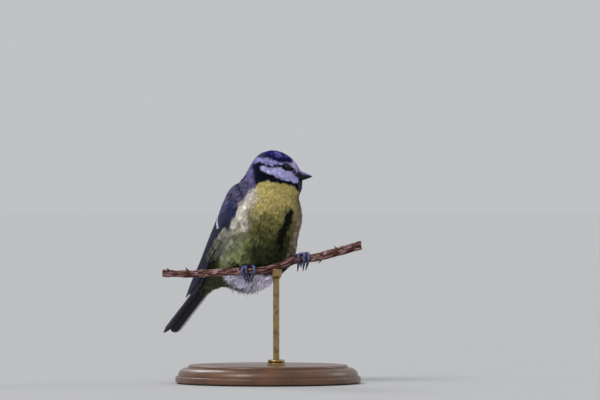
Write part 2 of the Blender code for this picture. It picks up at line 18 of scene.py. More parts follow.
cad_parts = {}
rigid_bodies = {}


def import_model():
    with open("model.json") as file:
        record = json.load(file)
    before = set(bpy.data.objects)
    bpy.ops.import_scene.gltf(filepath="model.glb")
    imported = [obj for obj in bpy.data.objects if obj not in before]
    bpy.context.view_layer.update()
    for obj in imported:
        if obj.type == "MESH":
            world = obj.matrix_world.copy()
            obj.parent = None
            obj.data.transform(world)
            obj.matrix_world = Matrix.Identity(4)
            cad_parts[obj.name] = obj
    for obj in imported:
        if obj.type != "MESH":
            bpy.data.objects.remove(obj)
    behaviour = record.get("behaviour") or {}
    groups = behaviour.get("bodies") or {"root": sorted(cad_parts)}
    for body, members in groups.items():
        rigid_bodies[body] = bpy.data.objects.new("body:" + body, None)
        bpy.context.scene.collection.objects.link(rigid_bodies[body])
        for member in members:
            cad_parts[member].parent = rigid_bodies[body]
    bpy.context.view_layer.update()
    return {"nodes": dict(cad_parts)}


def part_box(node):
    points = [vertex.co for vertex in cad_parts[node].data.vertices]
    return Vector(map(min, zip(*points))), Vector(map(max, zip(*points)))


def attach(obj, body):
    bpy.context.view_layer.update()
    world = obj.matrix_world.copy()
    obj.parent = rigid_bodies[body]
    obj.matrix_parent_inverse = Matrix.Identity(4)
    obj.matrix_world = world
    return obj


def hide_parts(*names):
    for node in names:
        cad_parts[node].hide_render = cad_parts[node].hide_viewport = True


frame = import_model()

MM = 0.001
BODY = "root"

# Pose, as the solids have it
PERCH_HEIGHT, PERCH_Y = 55.0, -7.0
BODY_YAW = math.radians(45)
HEAD_YAW, HEAD_PITCH = math.radians(7), math.radians(-2)
HEAD_PLACE = (4.7, 0.0, 49.4)
TAIL_DROP = math.radians(43)

# Camera
CAMERA_PLACE = (0.0155, -2.427, 0.089)
CAMERA_LENS = 300.0


# Vectors and frames

def unit(vectors):
    vectors = np.asarray(vectors, float)
    return vectors / np.maximum(np.linalg.norm(vectors, axis=-1, keepdims=True), 1e-12)


def turned_axes(yaw, pitch=0.0):
    """Rows are forward, left and up of a frame turned by yaw from +X to -Y, then nose up by pitch."""
    level = math.cos(pitch)
    forward = np.array([math.cos(yaw) * level, -math.sin(yaw) * level, math.sin(pitch)])
    left = np.array([math.sin(yaw), math.cos(yaw), 0.0])
    return np.array([forward, left, np.cross(forward, left)])


BODY_AXES = turned_axes(BODY_YAW)
BODY_ORIGIN = np.array([0.0, 0.0, PERCH_HEIGHT])
HEAD_AXES = turned_axes(HEAD_YAW, HEAD_PITCH)


def from_body(points):
    return np.asarray(points, float) @ BODY_AXES + BODY_ORIGIN


def to_body(points):
    return (np.asarray(points, float) - BODY_ORIGIN) @ BODY_AXES.T


HEAD_ORIGIN = from_body(HEAD_PLACE)


def from_head(points):
    return np.asarray(points, float) @ HEAD_AXES + HEAD_ORIGIN


def to_head(points):
    return (np.asarray(points, float) - HEAD_ORIGIN) @ HEAD_AXES.T


def smooth_curve(points, count):
    """Evenly parted places on a Catmull-Rom curve through the points, with any number of columns."""
    points = np.asarray(points, float)
    padded = np.vstack([2 * points[0] - points[1], points, 2 * points[-1] - points[-2]])
    places = np.linspace(0, len(points) - 1 - 1e-9, count)
    first = places.astype(int)
    t = (places - first)[:, None]
    p0, p1, p2, p3 = (padded[first + step] for step in range(4))
    cubic = (3 * p1 - p0 - 3 * p2 + p3) * t**3
    square = (2 * p0 - 5 * p1 + 4 * p2 - p3) * t**2
    return 0.5 * (2 * p1 + (p2 - p0) * t + square + cubic)


def ease(values, low, high):
    """0 below low and 1 above high, with a smooth rise between them."""
    share = np.clip((np.asarray(values, float) - low) / (high - low), 0, 1)
    return share * share * (3 - 2 * share)


def blend(first, second, share):
    share = np.asarray(share, float)[..., None]
    return np.asarray(first) * (1 - share) + np.asarray(second) * share


def mottle(points, size, seed, waves=16):
    """Smooth random patches of about the given size, from -1 to 1, as a sum of waves."""
    chance = np.random.default_rng(seed)
    directions = unit(chance.normal(size=(waves, 3)))
    steps = 2 * math.pi / (size * chance.uniform(1.2, 2.6, waves))
    phases = chance.uniform(0, 2 * math.pi, waves)
    total = np.sin(np.asarray(points) @ (directions * steps[:, None]).T + phases).sum(-1)
    return np.clip(total / math.sqrt(waves), -1, 1)


# Paints, from the tones of the bird in its own light

def paint(red, green, blue):
    """A linear colour from screen values of 0 to 255."""
    screen = np.array([red, green, blue]) / 255
    return np.where(screen < 0.04045, screen / 12.92, ((screen + 0.055) / 1.055) ** 2.4)


CROWN_BLUE = paint(24, 33, 114)
# painted highlight on the crown's top, laid on in pale blue streaks
CROWN_HIGHLIGHT_BLUE = paint(138, 138, 214)
BROW_WHITE = paint(172, 168, 228)
FOREHEAD_PINK = paint(212, 198, 238)
CHEEK_WHITE = paint(210, 208, 255)
INK_BLUE = paint(7, 9, 30)
NECK_BLUE = paint(22, 27, 60)
NAPE_LILAC = paint(138, 128, 192)
MANTLE_GREY = paint(98, 94, 128)
SCAPULAR_BLUE = paint(56, 60, 96)
BACK_OLIVE = paint(92, 96, 84)
RUMP_GREEN = paint(104, 110, 80)
BREAST_YELLOW = paint(216, 199, 126)
BREAST_PALE = paint(118, 112, 66)
SHOULDER_CREAM = paint(228, 221, 214)
# the two belly colours below are darkened as painted shade of the lower belly
SHADED_BELLY_YELLOW = paint(104, 102, 56)
SHADED_BELLY_OLIVE = paint(50, 56, 33)
BELLY_GREEN = paint(130, 138, 92)
FLANK_CREAM = paint(132, 132, 122)
# the far side's pale edge: partly pale flank, partly painted rim light
FAR_CREAM_RIM_LIGHT = paint(154, 140, 122)
BELLY_STREAK = paint(14, 17, 16)
# dark feather bases that show as flecks; on the lower belly the same colour is laid on as painted shade
FLECK_AND_SHADE_OLIVE = paint(34, 39, 26)
FLUFF_WHITE = paint(232, 230, 250)
VENT_GREY = paint(86, 90, 68)
COVERT_BLUE = paint(35, 38, 64)
COVERT_EDGE = paint(60, 65, 104)
BAR_WHITE = paint(206, 206, 222)
WING_SLATE = paint(20, 19, 23)
WING_EDGE = paint(46, 50, 84)
TERTIAL_SLATE = paint(30, 30, 38)
TAIL_SLATE = paint(46, 41, 48)
TAIL_BLUE = paint(56, 64, 112)
TAIL_EDGE = paint(208, 208, 226)


# Finishes

class Wire:
    """An output socket of a finish; a sum written with it adds its Math nodes."""

    def __init__(self, finish, socket):
        self.finish = finish
        self.socket = socket

    def maths(self, operation, *values):
        return self.finish.node("ShaderNodeMath", {"operation": operation}, dict(enumerate(values)))

    def __add__(self, other):
        return self.maths("ADD", self, other)

    def __sub__(self, other):
        return self.maths("SUBTRACT", self, other)

    def __rsub__(self, other):
        return self.maths("SUBTRACT", other, self)

    def __mul__(self, other):
        return self.maths("MULTIPLY", self, other)

    __radd__ = __add__
    __rmul__ = __mul__

    def __pow__(self, other):
        return self.maths("POWER", self, other)

    def sine(self):
        return self.maths("SINE", self)

    def rise(self, low, high):
        """0 below low, 1 above high, smooth between."""
        settings = {"interpolation_type": "SMOOTHSTEP"}
        return self.finish.node("ShaderNodeMapRange", settings, {"Value": self, "From Min": low, "From Max": high})


class Finish:
    """A material with one Principled shader, whose sockets are set by name."""

    def __init__(self, name, **constants):
        self.material = bpy.data.materials.new(name)
        self.material.use_nodes = True
        self.tree = self.material.node_tree
        self.shader = self.tree.nodes["Principled BSDF"]
        for socket, value in constants.items():
            self.shader.inputs[socket.replace("_", " ")].default_value = value

    def feed(self, socket, value):
        if isinstance(value, Wire):
            self.tree.links.new(value.socket, socket)
        else:
            socket.default_value = value

    def node(self, kind, settings=None, feeds=None, output=0):
        """Any node: its settings first, a ramp's stops among them, then what its sockets are fed."""
        made = self.tree.nodes.new(kind)
        for name, value in (settings or {}).items():
            if name != "stops":
                setattr(made, name, value)
                continue
            ramp = made.color_ramp
            for number, (place, colour) in enumerate(value):
                stop = ramp.elements[number] if number < 2 else ramp.elements.new(place)
                stop.position = place
                stop.color = (*colour, 1.0)
        for socket, value in (feeds or {}).items():
            self.feed(made.inputs[socket], value)
        return Wire(self, made.outputs[output])

    def set(self, **feeds):
        for socket, value in feeds.items():
            self.feed(self.shader.inputs[socket.replace("_", " ")], value)

    def place(self, stretch=(1.0, 1.0, 1.0)):
        """Object coordinates in metres, with a pattern drawn out or packed along each axis."""
        place = self.node("ShaderNodeTexCoord", output="Object")
        return self.node("ShaderNodeMapping", feeds={"Vector": place, "Scale": stretch})

    def stored(self, name, output="Fac"):
        return self.node("ShaderNodeAttribute", {"attribute_name": name}, output=output)

    def noise(self, scale, detail=4.0, roughness=0.55, where=None, output="Fac"):
        feeds = {"Vector": where or self.place(), "Scale": scale, "Detail": detail, "Roughness": roughness}
        return self.node("ShaderNodeTexNoise", feeds=feeds, output=output)

    def mix(self, share, first, second):
        """A colour between two others."""
        feeds = {0: share, 6: first, 7: second}
        for socket in (6, 7):
            if not isinstance(feeds[socket], Wire):
                feeds[socket] = (*feeds[socket], 1.0)
        return self.node("ShaderNodeMix", {"data_type": "RGBA"}, feeds, output=2)

    def shade(self, colour, factor):
        """A colour made lighter or darker."""
        return self.node("ShaderNodeVectorMath", {"operation": "SCALE"}, {0: colour, "Scale": factor})

    def bump(self, height, depth, strength=1.0):
        """A normal from a height of 0 to 1 that stands for so many millimetres."""
        return self.node("ShaderNodeBump", feeds={"Height": height, "Distance": depth * MM, "Strength": strength})


def coat_finish():
    """Feather tufts: their own tint, dark and grey at the root, with lighter and darker strands."""
    made = Finish("feather coat", Roughness=0.75, Sheen_Weight=0.02, Specular_IOR_Level=0.1)
    along = made.stored("along")
    light = (0.24 + 0.92 * along.rise(0.05, 0.85)) * (0.66 + 0.66 * made.stored("strand"))
    made.set(Base_Color=made.shade(made.stored("tint", "Color"), light))
    return made.material


def skin_finish():
    """What shows between the tufts: the same markings, darker, with a downy grain."""
    made = Finish("downy skin", Roughness=0.9, Specular_IOR_Level=0.2)
    grain = made.noise(1800.0, 3.0)
    made.set(Base_Color=made.shade(made.stored("tint", "Color"), 0.34 + 0.3 * grain))
    made.set(Normal=made.bump(grain, 0.12))
    return made.material


def vane_finish():
    """Single feathers: barbs slanting from the shaft, a fringe of their edge colour and a tip colour."""
    made = Finish("feather vane", Specular_IOR_Level=0.12)
    barb = made.stored("barb")
    streak = made.noise(900.0, 2.0)
    ribs = (barb * (2 * math.pi / 0.34) + 1.6 * streak).sine() * 0.5 + 0.5
    fine = made.noise(2600.0, 2.0)
    fringe = (made.stored("fringe") + 0.14 * (fine - 0.5)).rise(0.16, 0.6)
    tip = (made.stored("tip") + 0.3 * (streak - 0.5)).rise(0.35, 0.65)
    colour = made.mix(fringe, made.stored("tint", "Color"), made.stored("edge_tint", "Color"))
    colour = made.mix(tip, colour, made.stored("tip_tint", "Color"))
    made.set(Base_Color=made.shade(colour, 0.74 + 0.22 * ribs + 0.22 * streak))
    made.set(Roughness=0.5 + 0.2 * fine)
    made.set(Normal=made.bump(ribs, 0.03))
    return made.material


def shaft_finish():
    made = Finish("feather shaft", Roughness=0.35)
    grain = made.noise(700.0, 2.0)
    made.set(Base_Color=made.mix(grain, paint(34, 30, 34), paint(92, 86, 92)))
    return made.material


def bill_finish(name, upper, lower):
    """Dark horn with a lavender painted reflection of the pale surroundings on its upper side, and faint growth lines.
    """
    made = Finish(name, Coat_Roughness=0.25, Specular_IOR_Level=0.3)
    rise = made.stored("rise")
    mark = made.noise(900.0, 4.0, where=made.place((0.35, 1.0, 1.0)))
    lines = made.noise(3200.0, 2.0, where=made.place((0.2, 1.0, 1.0)))
    # the colour laid on the upper side is a painted reflection of the pale surroundings
    colour = made.mix((rise + 0.35 * (mark - 0.5)).rise(0.15, 0.9), lower, upper)
    nostril = made.stored("nostril")
    made.set(Base_Color=made.shade(colour, (0.85 + 0.3 * lines) * (1 - 0.9 * nostril)))
    made.set(Roughness=0.24 + 0.22 * mark + 0.5 * nostril)
    made.set(Coat_Weight=0.12 * (1 - nostril))
    made.set(Normal=made.bump(lines, 0.02))
    return made.material


def eye_finish():
    """A wet dark eye: near-black pupil and a brown iris that shows only close by."""
    made = Finish("wet eye", Roughness=0.05, IOR=1.38, Specular_IOR_Level=0.35)
    reach = made.stored("reach")
    rays = made.noise(2600.0, 3.0)
    iris = (reach + 0.06 * (rays - 0.5)).rise(0.50, 0.58) * (1 - reach.rise(0.86, 0.98))
    made.set(Base_Color=made.mix(iris, paint(4, 3, 5), paint(34, 20, 15)))
    return made.material


def lid_finish():
    made = Finish("eyelid", Roughness=0.5)
    grain = made.noise(2400.0, 3.0)
    made.set(Base_Color=made.mix(grain, paint(10, 11, 20), paint(34, 37, 56)))
    made.set(Normal=made.bump(grain, 0.05))
    return made.material


def leg_finish():
    """Blue grey scaled skin, painted paler where it faces up as a painted highlight, with paler worn patches and dark
    creases.
    """
    made = Finish("leg skin", Roughness=0.42, Coat_Weight=0.15, Coat_Roughness=0.35)
    scute = made.stored("scute")
    wear = made.noise(1100.0, 4.0)
    grain = made.noise(4200.0, 3.0)
    colour = made.mix((scute + 0.7 * (wear - 0.5)).rise(0.25, 1.05), paint(28, 31, 56), paint(112, 116, 170))
    made.set(Base_Color=made.shade(colour, 0.8 + 0.4 * grain))
    made.set(Roughness=0.32 + 0.3 * wear)
    made.set(Normal=made.bump(grain * 0.4 + scute * 0.6, 0.08))
    return made.material


def claw_finish():
    made = Finish("claw horn", Roughness=0.25, Coat_Weight=0.3, Coat_Roughness=0.15)
    lines = made.noise(2600.0, 3.0)
    made.set(Base_Color=made.mix(lines, paint(10, 10, 16), paint(58, 56, 74)))
    made.set(Normal=made.bump(lines, 0.02))
    return made.material


def bark_finish():
    """Reddish brown bark: dark furrows, a warm body, pale weathered ridges and a little green dust."""
    made = Finish("twig bark", Roughness=0.85, Specular_IOR_Level=0.2)
    drawn = made.place((0.16, 1.0, 1.0))
    grain = made.noise(1500.0, 6.0, 0.65, where=drawn)
    patch = made.noise(240.0, 4.0, 0.6, where=made.place((0.5, 1.0, 1.0)))
    ridge = made.stored("ridge")
    colour = made.mix(grain.rise(0.3, 0.7), paint(34, 20, 18), paint(98, 58, 48))
    worn = (ridge * 0.55 + patch * 0.9).rise(0.68, 1.1)
    colour = made.mix(worn, colour, paint(158, 122, 118))
    dust = made.noise(520.0, 3.0).rise(0.6, 0.74) * 0.35
    colour = made.mix(dust, colour, paint(84, 86, 58))
    made.set(Base_Color=colour)
    made.set(Roughness=0.7 + 0.25 * grain)
    made.set(Normal=made.bump(grain * 0.6 + ridge * 0.4, 0.3))
    return made.material


def flake_finish():
    """Peeling outer bark, pinkish grey above and brown in its streaks."""
    made = Finish("peeling bark", Roughness=0.8, Specular_IOR_Level=0.25)
    grain = made.noise(1700.0, 5.0, 0.6, where=made.place((0.18, 1.0, 1.0)))
    patch = made.noise(300.0, 2.0)
    colour = made.mix(patch.rise(0.35, 0.65), paint(104, 66, 60), paint(176, 142, 146))
    made.set(Base_Color=made.shade(colour, 0.6 + 0.75 * grain))
    made.set(Normal=made.bump(grain, 0.12))
    return made.material


def cut_wood_finish():
    """The twig's sawn ends: pale sapwood in rings round a brown pith."""
    made = Finish("cut twig end", Roughness=0.75)
    reach = made.stored("reach")
    rays = made.noise(1500.0, 3.0)
    rings = ((reach + 0.1 * rays) * 34.0).sine() * 0.5 + 0.5
    colour = made.mix(reach.rise(0.05, 0.28), paint(96, 62, 40), paint(196, 164, 120))
    colour = made.mix(reach.rise(0.86, 0.96), colour, paint(78, 46, 38))
    made.set(Base_Color=made.shade(colour, 0.82 + 0.14 * rings + 0.14 * rays))
    made.set(Normal=made.bump(rays, 0.05))
    return made.material


def base_wood_finish():
    """Turned walnut: fine straight grain in soft bands, open pores and a satin varnish."""
    made = Finish("turned walnut", Coat_Weight=0.3, Coat_Roughness=0.25)
    bend = made.noise(9.0, 2.0, where=made.place((0.35, 1.0, 0.4)))
    grain = made.noise(420.0, 6.0, 0.6, where=made.place((0.035, 1.0, 1.0)))
    pores = made.noise(1700.0, 3.0, 0.6, where=made.place((0.03, 1.0, 1.0)))
    bands = ((bend * 30.0 + grain * 0.8) * 6.0).sine() * 0.5 + 0.5
    colour = made.mix(bands * 0.45 + grain * 0.55, paint(116, 76, 48), paint(74, 46, 30))
    colour = made.mix(pores.rise(0.58, 0.72), colour, paint(44, 27, 18))
    made.set(Base_Color=made.shade(colour, 0.82 + 0.36 * grain))
    made.set(Roughness=0.34 + 0.16 * grain)
    made.set(Normal=made.bump(1 - pores.rise(0.58, 0.72), 0.05))
    return made.material


def brass_finish():
    """Lacquered brass with turning lines and a little tarnish."""
    made = Finish("satin brass", Metallic=1.0)
    lines = made.noise(5200.0, 2.0, where=made.place((0.12, 0.12, 1.0)))
    tarnish = made.noise(260.0, 5.0, 0.6)
    made.set(Base_Color=made.mix(tarnish.rise(0.42, 0.72), paint(172, 144, 98), paint(118, 96, 64)))
    made.set(Roughness=0.2 + 0.14 * lines + 0.2 * tarnish)
    made.set(Normal=made.bump(lines, 0.012))
    return made.material


def felt_finish():
    made = Finish("felt", Roughness=0.95, Sheen_Weight=0.3)
    fibre = made.noise(2200.0, 4.0)
    made.set(Base_Color=made.mix(fibre, paint(24, 44, 34), paint(44, 70, 54)))
    made.set(Normal=made.bump(fibre, 0.15))
    return made.material


def floor_finish():
    made = Finish("pale floor", Roughness=0.85, Specular_IOR_Level=0.1)
    made.set(Base_Color=made.mix(made.noise(6.0, 2.0), paint(180, 181, 182), paint(185, 185, 186)))
    return made.material


# Meshes

def store(mesh, name, values, kind="FLOAT", domain="POINT"):
    """A named attribute of a mesh, from one row of values for each point or corner."""
    made = mesh.attributes.new(name, kind, domain)
    field = {"FLOAT": "value", "INT": "value", "FLOAT_COLOR": "color"}.get(kind, "vector")
    values = np.asarray(values, float)
    if kind == "FLOAT_COLOR":
        values = np.column_stack([values, np.ones(len(values))])
    made.data.foreach_set(field, values.ravel().astype(np.int32 if kind == "INT" else np.float32))


def mesh_of(name, points, faces, smooth=True):
    mesh = bpy.data.meshes.new(name)
    mesh.from_pydata(np.asarray(points) * MM, [], faces)
    if smooth and faces:
        mesh.shade_smooth()
    return mesh


def shown(name, mesh, finish, slot, *nodes):
    """A finished piece: in the scene, in its finish, riding on the bird, in place of some nodes."""
    piece = bpy.data.objects.new(name, mesh)
    bpy.context.scene.collection.objects.link(piece)
    if finish:
        mesh.materials.clear()
        mesh.materials.append(finish)
    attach(piece, BODY)
    if nodes:
        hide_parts(*nodes)
    return piece


def settled(thing):
    """The plain mesh of an object with its modifiers worked in; the object itself is removed."""
    bpy.context.view_layer.update()
    found = thing.evaluated_get(bpy.context.evaluated_depsgraph_get())
    mesh = bpy.data.meshes.new_from_object(found)
    mesh.name = thing.name
    bpy.data.objects.remove(thing, do_unlink=True)
    return mesh


def working(name, mesh):
    """An object that only lasts until it is settled."""
    thing = bpy.data.objects.new(name, mesh)
    bpy.context.scene.collection.objects.link(thing)
    return thing


def points_of(mesh):
    found = np.empty(len(mesh.vertices) * 3)
    mesh.vertices.foreach_get("co", found)
    return found.reshape(-1, 3) / MM


def normals_of(mesh):
    found = np.empty(len(mesh.vertices) * 3)
    mesh.vertex_normals.foreach_get("vector", found)
    return found.reshape(-1, 3)


class Shapes:
    """Points, faces and per-point values of many small shapes, gathered for one mesh."""

    def __init__(self):
        self.points, self.faces, self.values, self.count = [], [], {}, 0

    def add(self, points, faces, **values):
        points = np.asarray(points, float).reshape(-1, 3)
        self.points.append(points)
        self.faces += [tuple(place + self.count for place in face) for face in faces]
        for name, given in values.items():
            given = np.asarray(given, float)
            whole = given if len(given) == len(points) and given.ndim > 0 else None
            if whole is None:
                raise ValueError(name)
            self.values.setdefault(name, []).append(whole)
        self.count += len(points)

    def mesh(self, name):
        made = mesh_of(name, np.vstack(self.points), self.faces)
        for value, parts in self.values.items():
            joined = np.concatenate(parts)
            store(made, value, joined, "FLOAT" if joined.ndim == 1 else "FLOAT_COLOR")
        return made


def ring_faces(ring_count, around, capped=True):
    """Quads between neighbouring rings of points, with one face over each end ring."""
    ring = np.arange(around)
    after = np.roll(ring, -1)
    quad = np.column_stack([ring, after, after + around, ring + around])
    quads = (quad[None] + around * np.arange(ring_count - 1)[:, None, None]).reshape(-1, 4)
    faces = [tuple(face) for face in quads.tolist()]
    if capped:
        last = (ring_count - 1) * around
        faces.append(tuple(reversed(range(around))))
        faces.append(tuple(range(last, last + around)))
    return faces


def sheet_faces(rows, columns):
    """Faces of a closed thin sheet whose upper points are followed by its lower ones."""
    count = rows * columns
    place = np.arange(count).reshape(rows, columns)
    quads = np.stack([place[:-1, :-1], place[:-1, 1:], place[1:, 1:], place[1:, :-1]], axis=-1).reshape(-1, 4)
    border = np.concatenate([place[0], place[1:, -1], place[-1, -2::-1], place[-2:0:-1, 0]])
    after = np.roll(border, -1)
    rim = np.stack([border, border + count, after + count, after], axis=-1)
    return np.concatenate([quads, quads[:, ::-1] + count, rim]).tolist()


def path_frames(path):
    """Tangents and two cross directions along a path, carried on with no twist."""
    path = np.asarray(path, float)
    tangents = unit(np.gradient(path, axis=0))
    guide = np.array([0.0, 0.0, 1.0]) if abs(tangents[0][2]) < 0.8 else np.array([0.0, 1.0, 0.0])
    sides = []
    for tangent in tangents:
        guide = unit(guide - tangent * (guide @ tangent))
        sides.append(guide)
    sides = np.array(sides)
    return tangents, sides, np.cross(tangents, sides)


def tube_points(path, radii, around):
    """Rings of points round a path; radii have one value for each ring, or one for each point."""
    _, across, beside = path_frames(path)
    angles = np.linspace(0, 2 * math.pi, around, endpoint=False)[:, None]
    circle = across[:, None] * np.cos(angles) + beside[:, None] * np.sin(angles)
    radii = np.asarray(radii, float)
    radii = radii[:, None] if radii.ndim == 1 else radii
    return np.asarray(path)[:, None] + circle * radii[..., None]


def outward(mesh):
    """Turns a closed mesh's faces outwards."""
    shape = bmesh.new()
    shape.from_mesh(mesh)
    bmesh.ops.recalc_face_normals(shape, faces=shape.faces)
    shape.to_mesh(mesh)
    shape.free()
    return mesh


# The spine that rings of the body are counted along, from the tail coverts to the crown

SPINE = np.array([(-46.6, -9.6), (-27.6, 8.1), (3.6, 20.0), (4.2, 59.2)])
SPINE_SAMPLES = 160


def spine_line():
    share = np.linspace(0, 1, SPINE_SAMPLES)[:, None]
    rest = 1 - share
    place = SPINE[0] * rest**3 + 3 * SPINE[1] * rest**2 * share + 3 * SPINE[2] * rest * share**2
    place = place + SPINE[3] * share**3
    return from_body(np.column_stack([place[:, 0], np.zeros(SPINE_SAMPLES), place[:, 1]]))


SPINE_LINE = spine_line()
SPINE_TANGENTS = unit(np.gradient(SPINE_LINE, axis=0))


def round_spine(points):
    """For each point its share along the spine, its angle from the belly side, and the tangent there."""
    nearest = np.empty(len(points), int)
    for start in range(0, len(points), 4000):
        part = points[start:start + 4000]
        nearest[start:start + 4000] = ((part[:, None] - SPINE_LINE) ** 2).sum(-1).argmin(1)
    tangent = SPINE_TANGENTS[nearest]
    away = points - SPINE_LINE[nearest]
    left = BODY_AXES[1]
    front = np.cross(left, tangent)
    angle = np.arctan2(away @ left, (away * front).sum(1))
    return nearest / (SPINE_SAMPLES - 1), angle, tangent


# The twig's route and where the feet hold it

TWIG_START, TWIG_END = -51.0, 45.0
TWIG_HEIGHTS = [(-57.0, -1.2), (-45.0, -1.7), (-34.0, -1.8), (-24.0, -1.1), (-14.0, -0.7), (-5.0, -0.3),
                (2.0, 1.0), (8.0, 3.0), (13.0, 4.8), (19.0, 5.5), (25.0, 6.6), (34.0, 9.0), (46.0, 12.4)]
TWIG_RADIUS, TWIG_GROWTH, TWIG_SWELLING, TWIG_SWAY = 1.65, 0.35, 0.12, 0.35


def twig_centre(x):
    places, heights = smooth_curve(TWIG_HEIGHTS, 200).T
    x = np.asarray(x, float)
    y = PERCH_Y + TWIG_SWAY * np.sin(x * 0.11)
    return np.stack([x, y, PERCH_HEIGHT + np.interp(x, places, heights)], axis=-1)


def twig_radius(x):
    growth = TWIG_RADIUS + TWIG_GROWTH * np.clip((x + 5) / 50, 0, 1)
    return growth + TWIG_SWELLING * np.sin(x * 0.37 + 0.8) ** 6


def off_twig(points):
    """How far points are from the twig's bark."""
    x = np.clip(points[..., 0], TWIG_START, TWIG_END)
    return np.linalg.norm(points - twig_centre(x), axis=-1) - twig_radius(x)


# Markings, the same for the skin and the coat

CROWN_LINE = [(-11.5, 3.6), (-9.7, 4.4), (-8.7, 4.65), (-6.8, 5.15), (-4.2, 4.8), (-1.7, 4.6), (-0.1, 3.95), (0.9, 3.3),
              (2.4, 3.05), (4.3, 3.15), (6.1, 3.2), (7.5, 2.95), (8.5, 2.5), (10.0, 2.0)]
CROWN_FRONT = 9.0
EYE_LINE_TOP = [(-11.0, 2.2), (-10.0, 2.4), (-7.0, 2.5), (-4.4, 2.1), (-1.4, 1.45), (1.1, 1.4), (3.5, 1.65), (5.3, 1.8),
                (7.0, 2.0), (8.5, 1.6), (10.5, -0.5), (12.2, -1.9), (14.0, -2.6)]
CHEEK_TOP = [(-6.2, 0.0), (-5.7, 0.1), (-4.3, 0.65), (-2.8, 0.45), (-1.3, 0.25), (1.2, 0.6), (3.5, 0.4), (5.5, -0.5),
             (7.0, -0.9), (8.4, -1.35), (9.8, -2.5), (11.1, -3.65), (12.3, -4.3), (14.0, -4.6)]
CHEEK_FOOT = [(-6.2, -0.5), (-5.7, -0.6), (-3.6, -1.5), (-2.1, -2.2), (-0.6, -3.1), (1.4, -4.0), (3.3, -4.9),
              (5.2, -5.55), (7.1, -6.0), (9.0, -6.4), (10.8, -6.8), (12.0, -6.5), (12.8, -5.8)]
CHEEK_BACK, CHEEK_FRONT = -6.0, 12.7
COLLAR_FOOT = [(-9.5, -11.0), (-8.1, -9.4), (-7.2, -8.2), (-5.8, -6.9), (-4.3, -6.3), (-2.9, -6.1), (-0.9, -6.3),
               (1.0, -6.7), (2.9, -7.1), (4.8, -7.25), (6.7, -7.45), (8.5, -7.9), (10.4, -8.6), (11.7, -9.9),
               (12.5, -10.9), (12.9, -11.8)]
# the dark neck's back edge, as (up, forward)
NECK_BACK = [(-9.9, -7.5), (-8.9, -7.7), (-7.0, -8.3), (-4.6, -9.0), (-2.2, -9.2), (0.2, -9.9), (2.7, -9.8),
             (3.6, -10.2)]


def line_height(line, place):
    places, heights = np.array(line).T
    return np.interp(place, places, heights)


def head_colours(points):
    """Colours of the head, and how much each point belongs to it."""
    forward, left, up = to_head(points).T
    wander = mottle(points, 1.5, 21)
    forward = forward + 0.2 * wander
    up = up + 0.22 * wander
    on_neck = ease(forward - line_height(NECK_BACK, up), -0.7, 0.7)
    colour = blend(NECK_BLUE, INK_BLUE, ease(forward, -9.5, -4.5))
    over_foot = ease(up - line_height(CHEEK_FOOT, forward), -0.2, 0.3)
    under_line = 1 - ease(up - line_height(CHEEK_TOP, forward), -0.3, 0.25)
    cheek = over_foot * under_line * ease(forward, CHEEK_BACK, CHEEK_BACK + 0.8)
    cheek = cheek * (1 - ease(forward, CHEEK_FRONT - 0.6, CHEEK_FRONT))
    greyed = 0.4 * ease(mottle(points, 1.6, 22), 0.0, 0.9) + 0.5 * ease(-forward, 3.0, 6.5) * 0.5
    colour = blend(colour, blend(CHEEK_WHITE, NAPE_LILAC, greyed * 0.6), cheek)
    # pale speckles on the bib's front edge, partly pale feather tips and partly painted rim light, and speckles before
    # the eye
    speckle = ease(mottle(points, 0.3, 24), 0.2, 0.7)
    # the bib's front edge, where the pale speckles are partly painted rim light
    throat_rim_light = ease(forward, 11.4, 13.2) * (1 - ease(up, -6.6, -5.6))
    colour = blend(colour, CHEEK_WHITE, 0.6 * throat_rim_light * speckle)
    lores = ease(forward, 8.4, 9.6) * (1 - ease(up, -1.4, -0.6)) * (1 - cheek) * ease(up, -5.0, -4.2)
    colour = blend(colour, BROW_WHITE, 0.8 * speckle * lores)
    brow = ease(up - line_height(EYE_LINE_TOP, forward), -0.15, 0.25)
    white = blend(BROW_WHITE, FOREHEAD_PINK, ease(forward, 6.5, 9.5))
    white = blend(white, NAPE_LILAC, 0.6 * ease(-forward, 6.0, 9.5))
    colour = blend(colour, white, brow)
    over = up - line_height(CROWN_LINE, forward)
    crown = ease(over, -0.2, 0.3) * (1 - ease(forward, CROWN_FRONT - 0.5, CROWN_FRONT + 0.3))
    # pale blue streaks, strongest high on the crown and at its front: painted highlight
    crown_highlight_streaks = ease(mottle(to_head(points) * (0.12, 2.4, 1.6), 0.5, 23), 0.0, 0.6) * ease(forward, -3.0, 3.0)
    blue = blend(CROWN_BLUE, CROWN_HIGHLIGHT_BLUE, 0.8 * crown_highlight_streaks * ease(over, 1.2, 3.0))
    blue = blend(blue, INK_BLUE, 0.8 * (1 - ease(over, 0.4, 3.0)))
    blue = blend(blue, NAPE_LILAC, 0.3 * (1 - ease(forward, -8.0, -1.5)))
    colour = blend(colour, blue, crown)
    above_collar = ease(up - line_height(COLLAR_FOOT, forward), -0.25, 0.35)
    return colour, np.maximum(above_collar * on_neck, brow)


DORSAL_ANGLES = [(0.0, 96), (0.15, 108), (0.35, 138), (0.5, 126), (0.6, 106), (0.7, 92), (0.75, 87), (0.8, 85),
                 (0.83, 77), (0.87, 72), (1.0, 70)]
# the belly's dark streak, as (up, left of its middle, half its width)
STREAK = [(8.5, -2.2, 0.8), (10.5, -2.2, 1.3), (14.5, -2.5, 1.9), (18.0, -2.8, 2.1), (22.0, -2.1, 2.4),
          (25.3, -1.3, 2.5), (28.7, 0.4, 2.3), (30.5, 0.8, 1.4)]
# the darkest flecks on the near side of the belly, as (up, left)
FLECK_LINE = [(4.0, -9.6), (10.0, -11.8), (15.0, -12.6), (20.0, -14.5)]



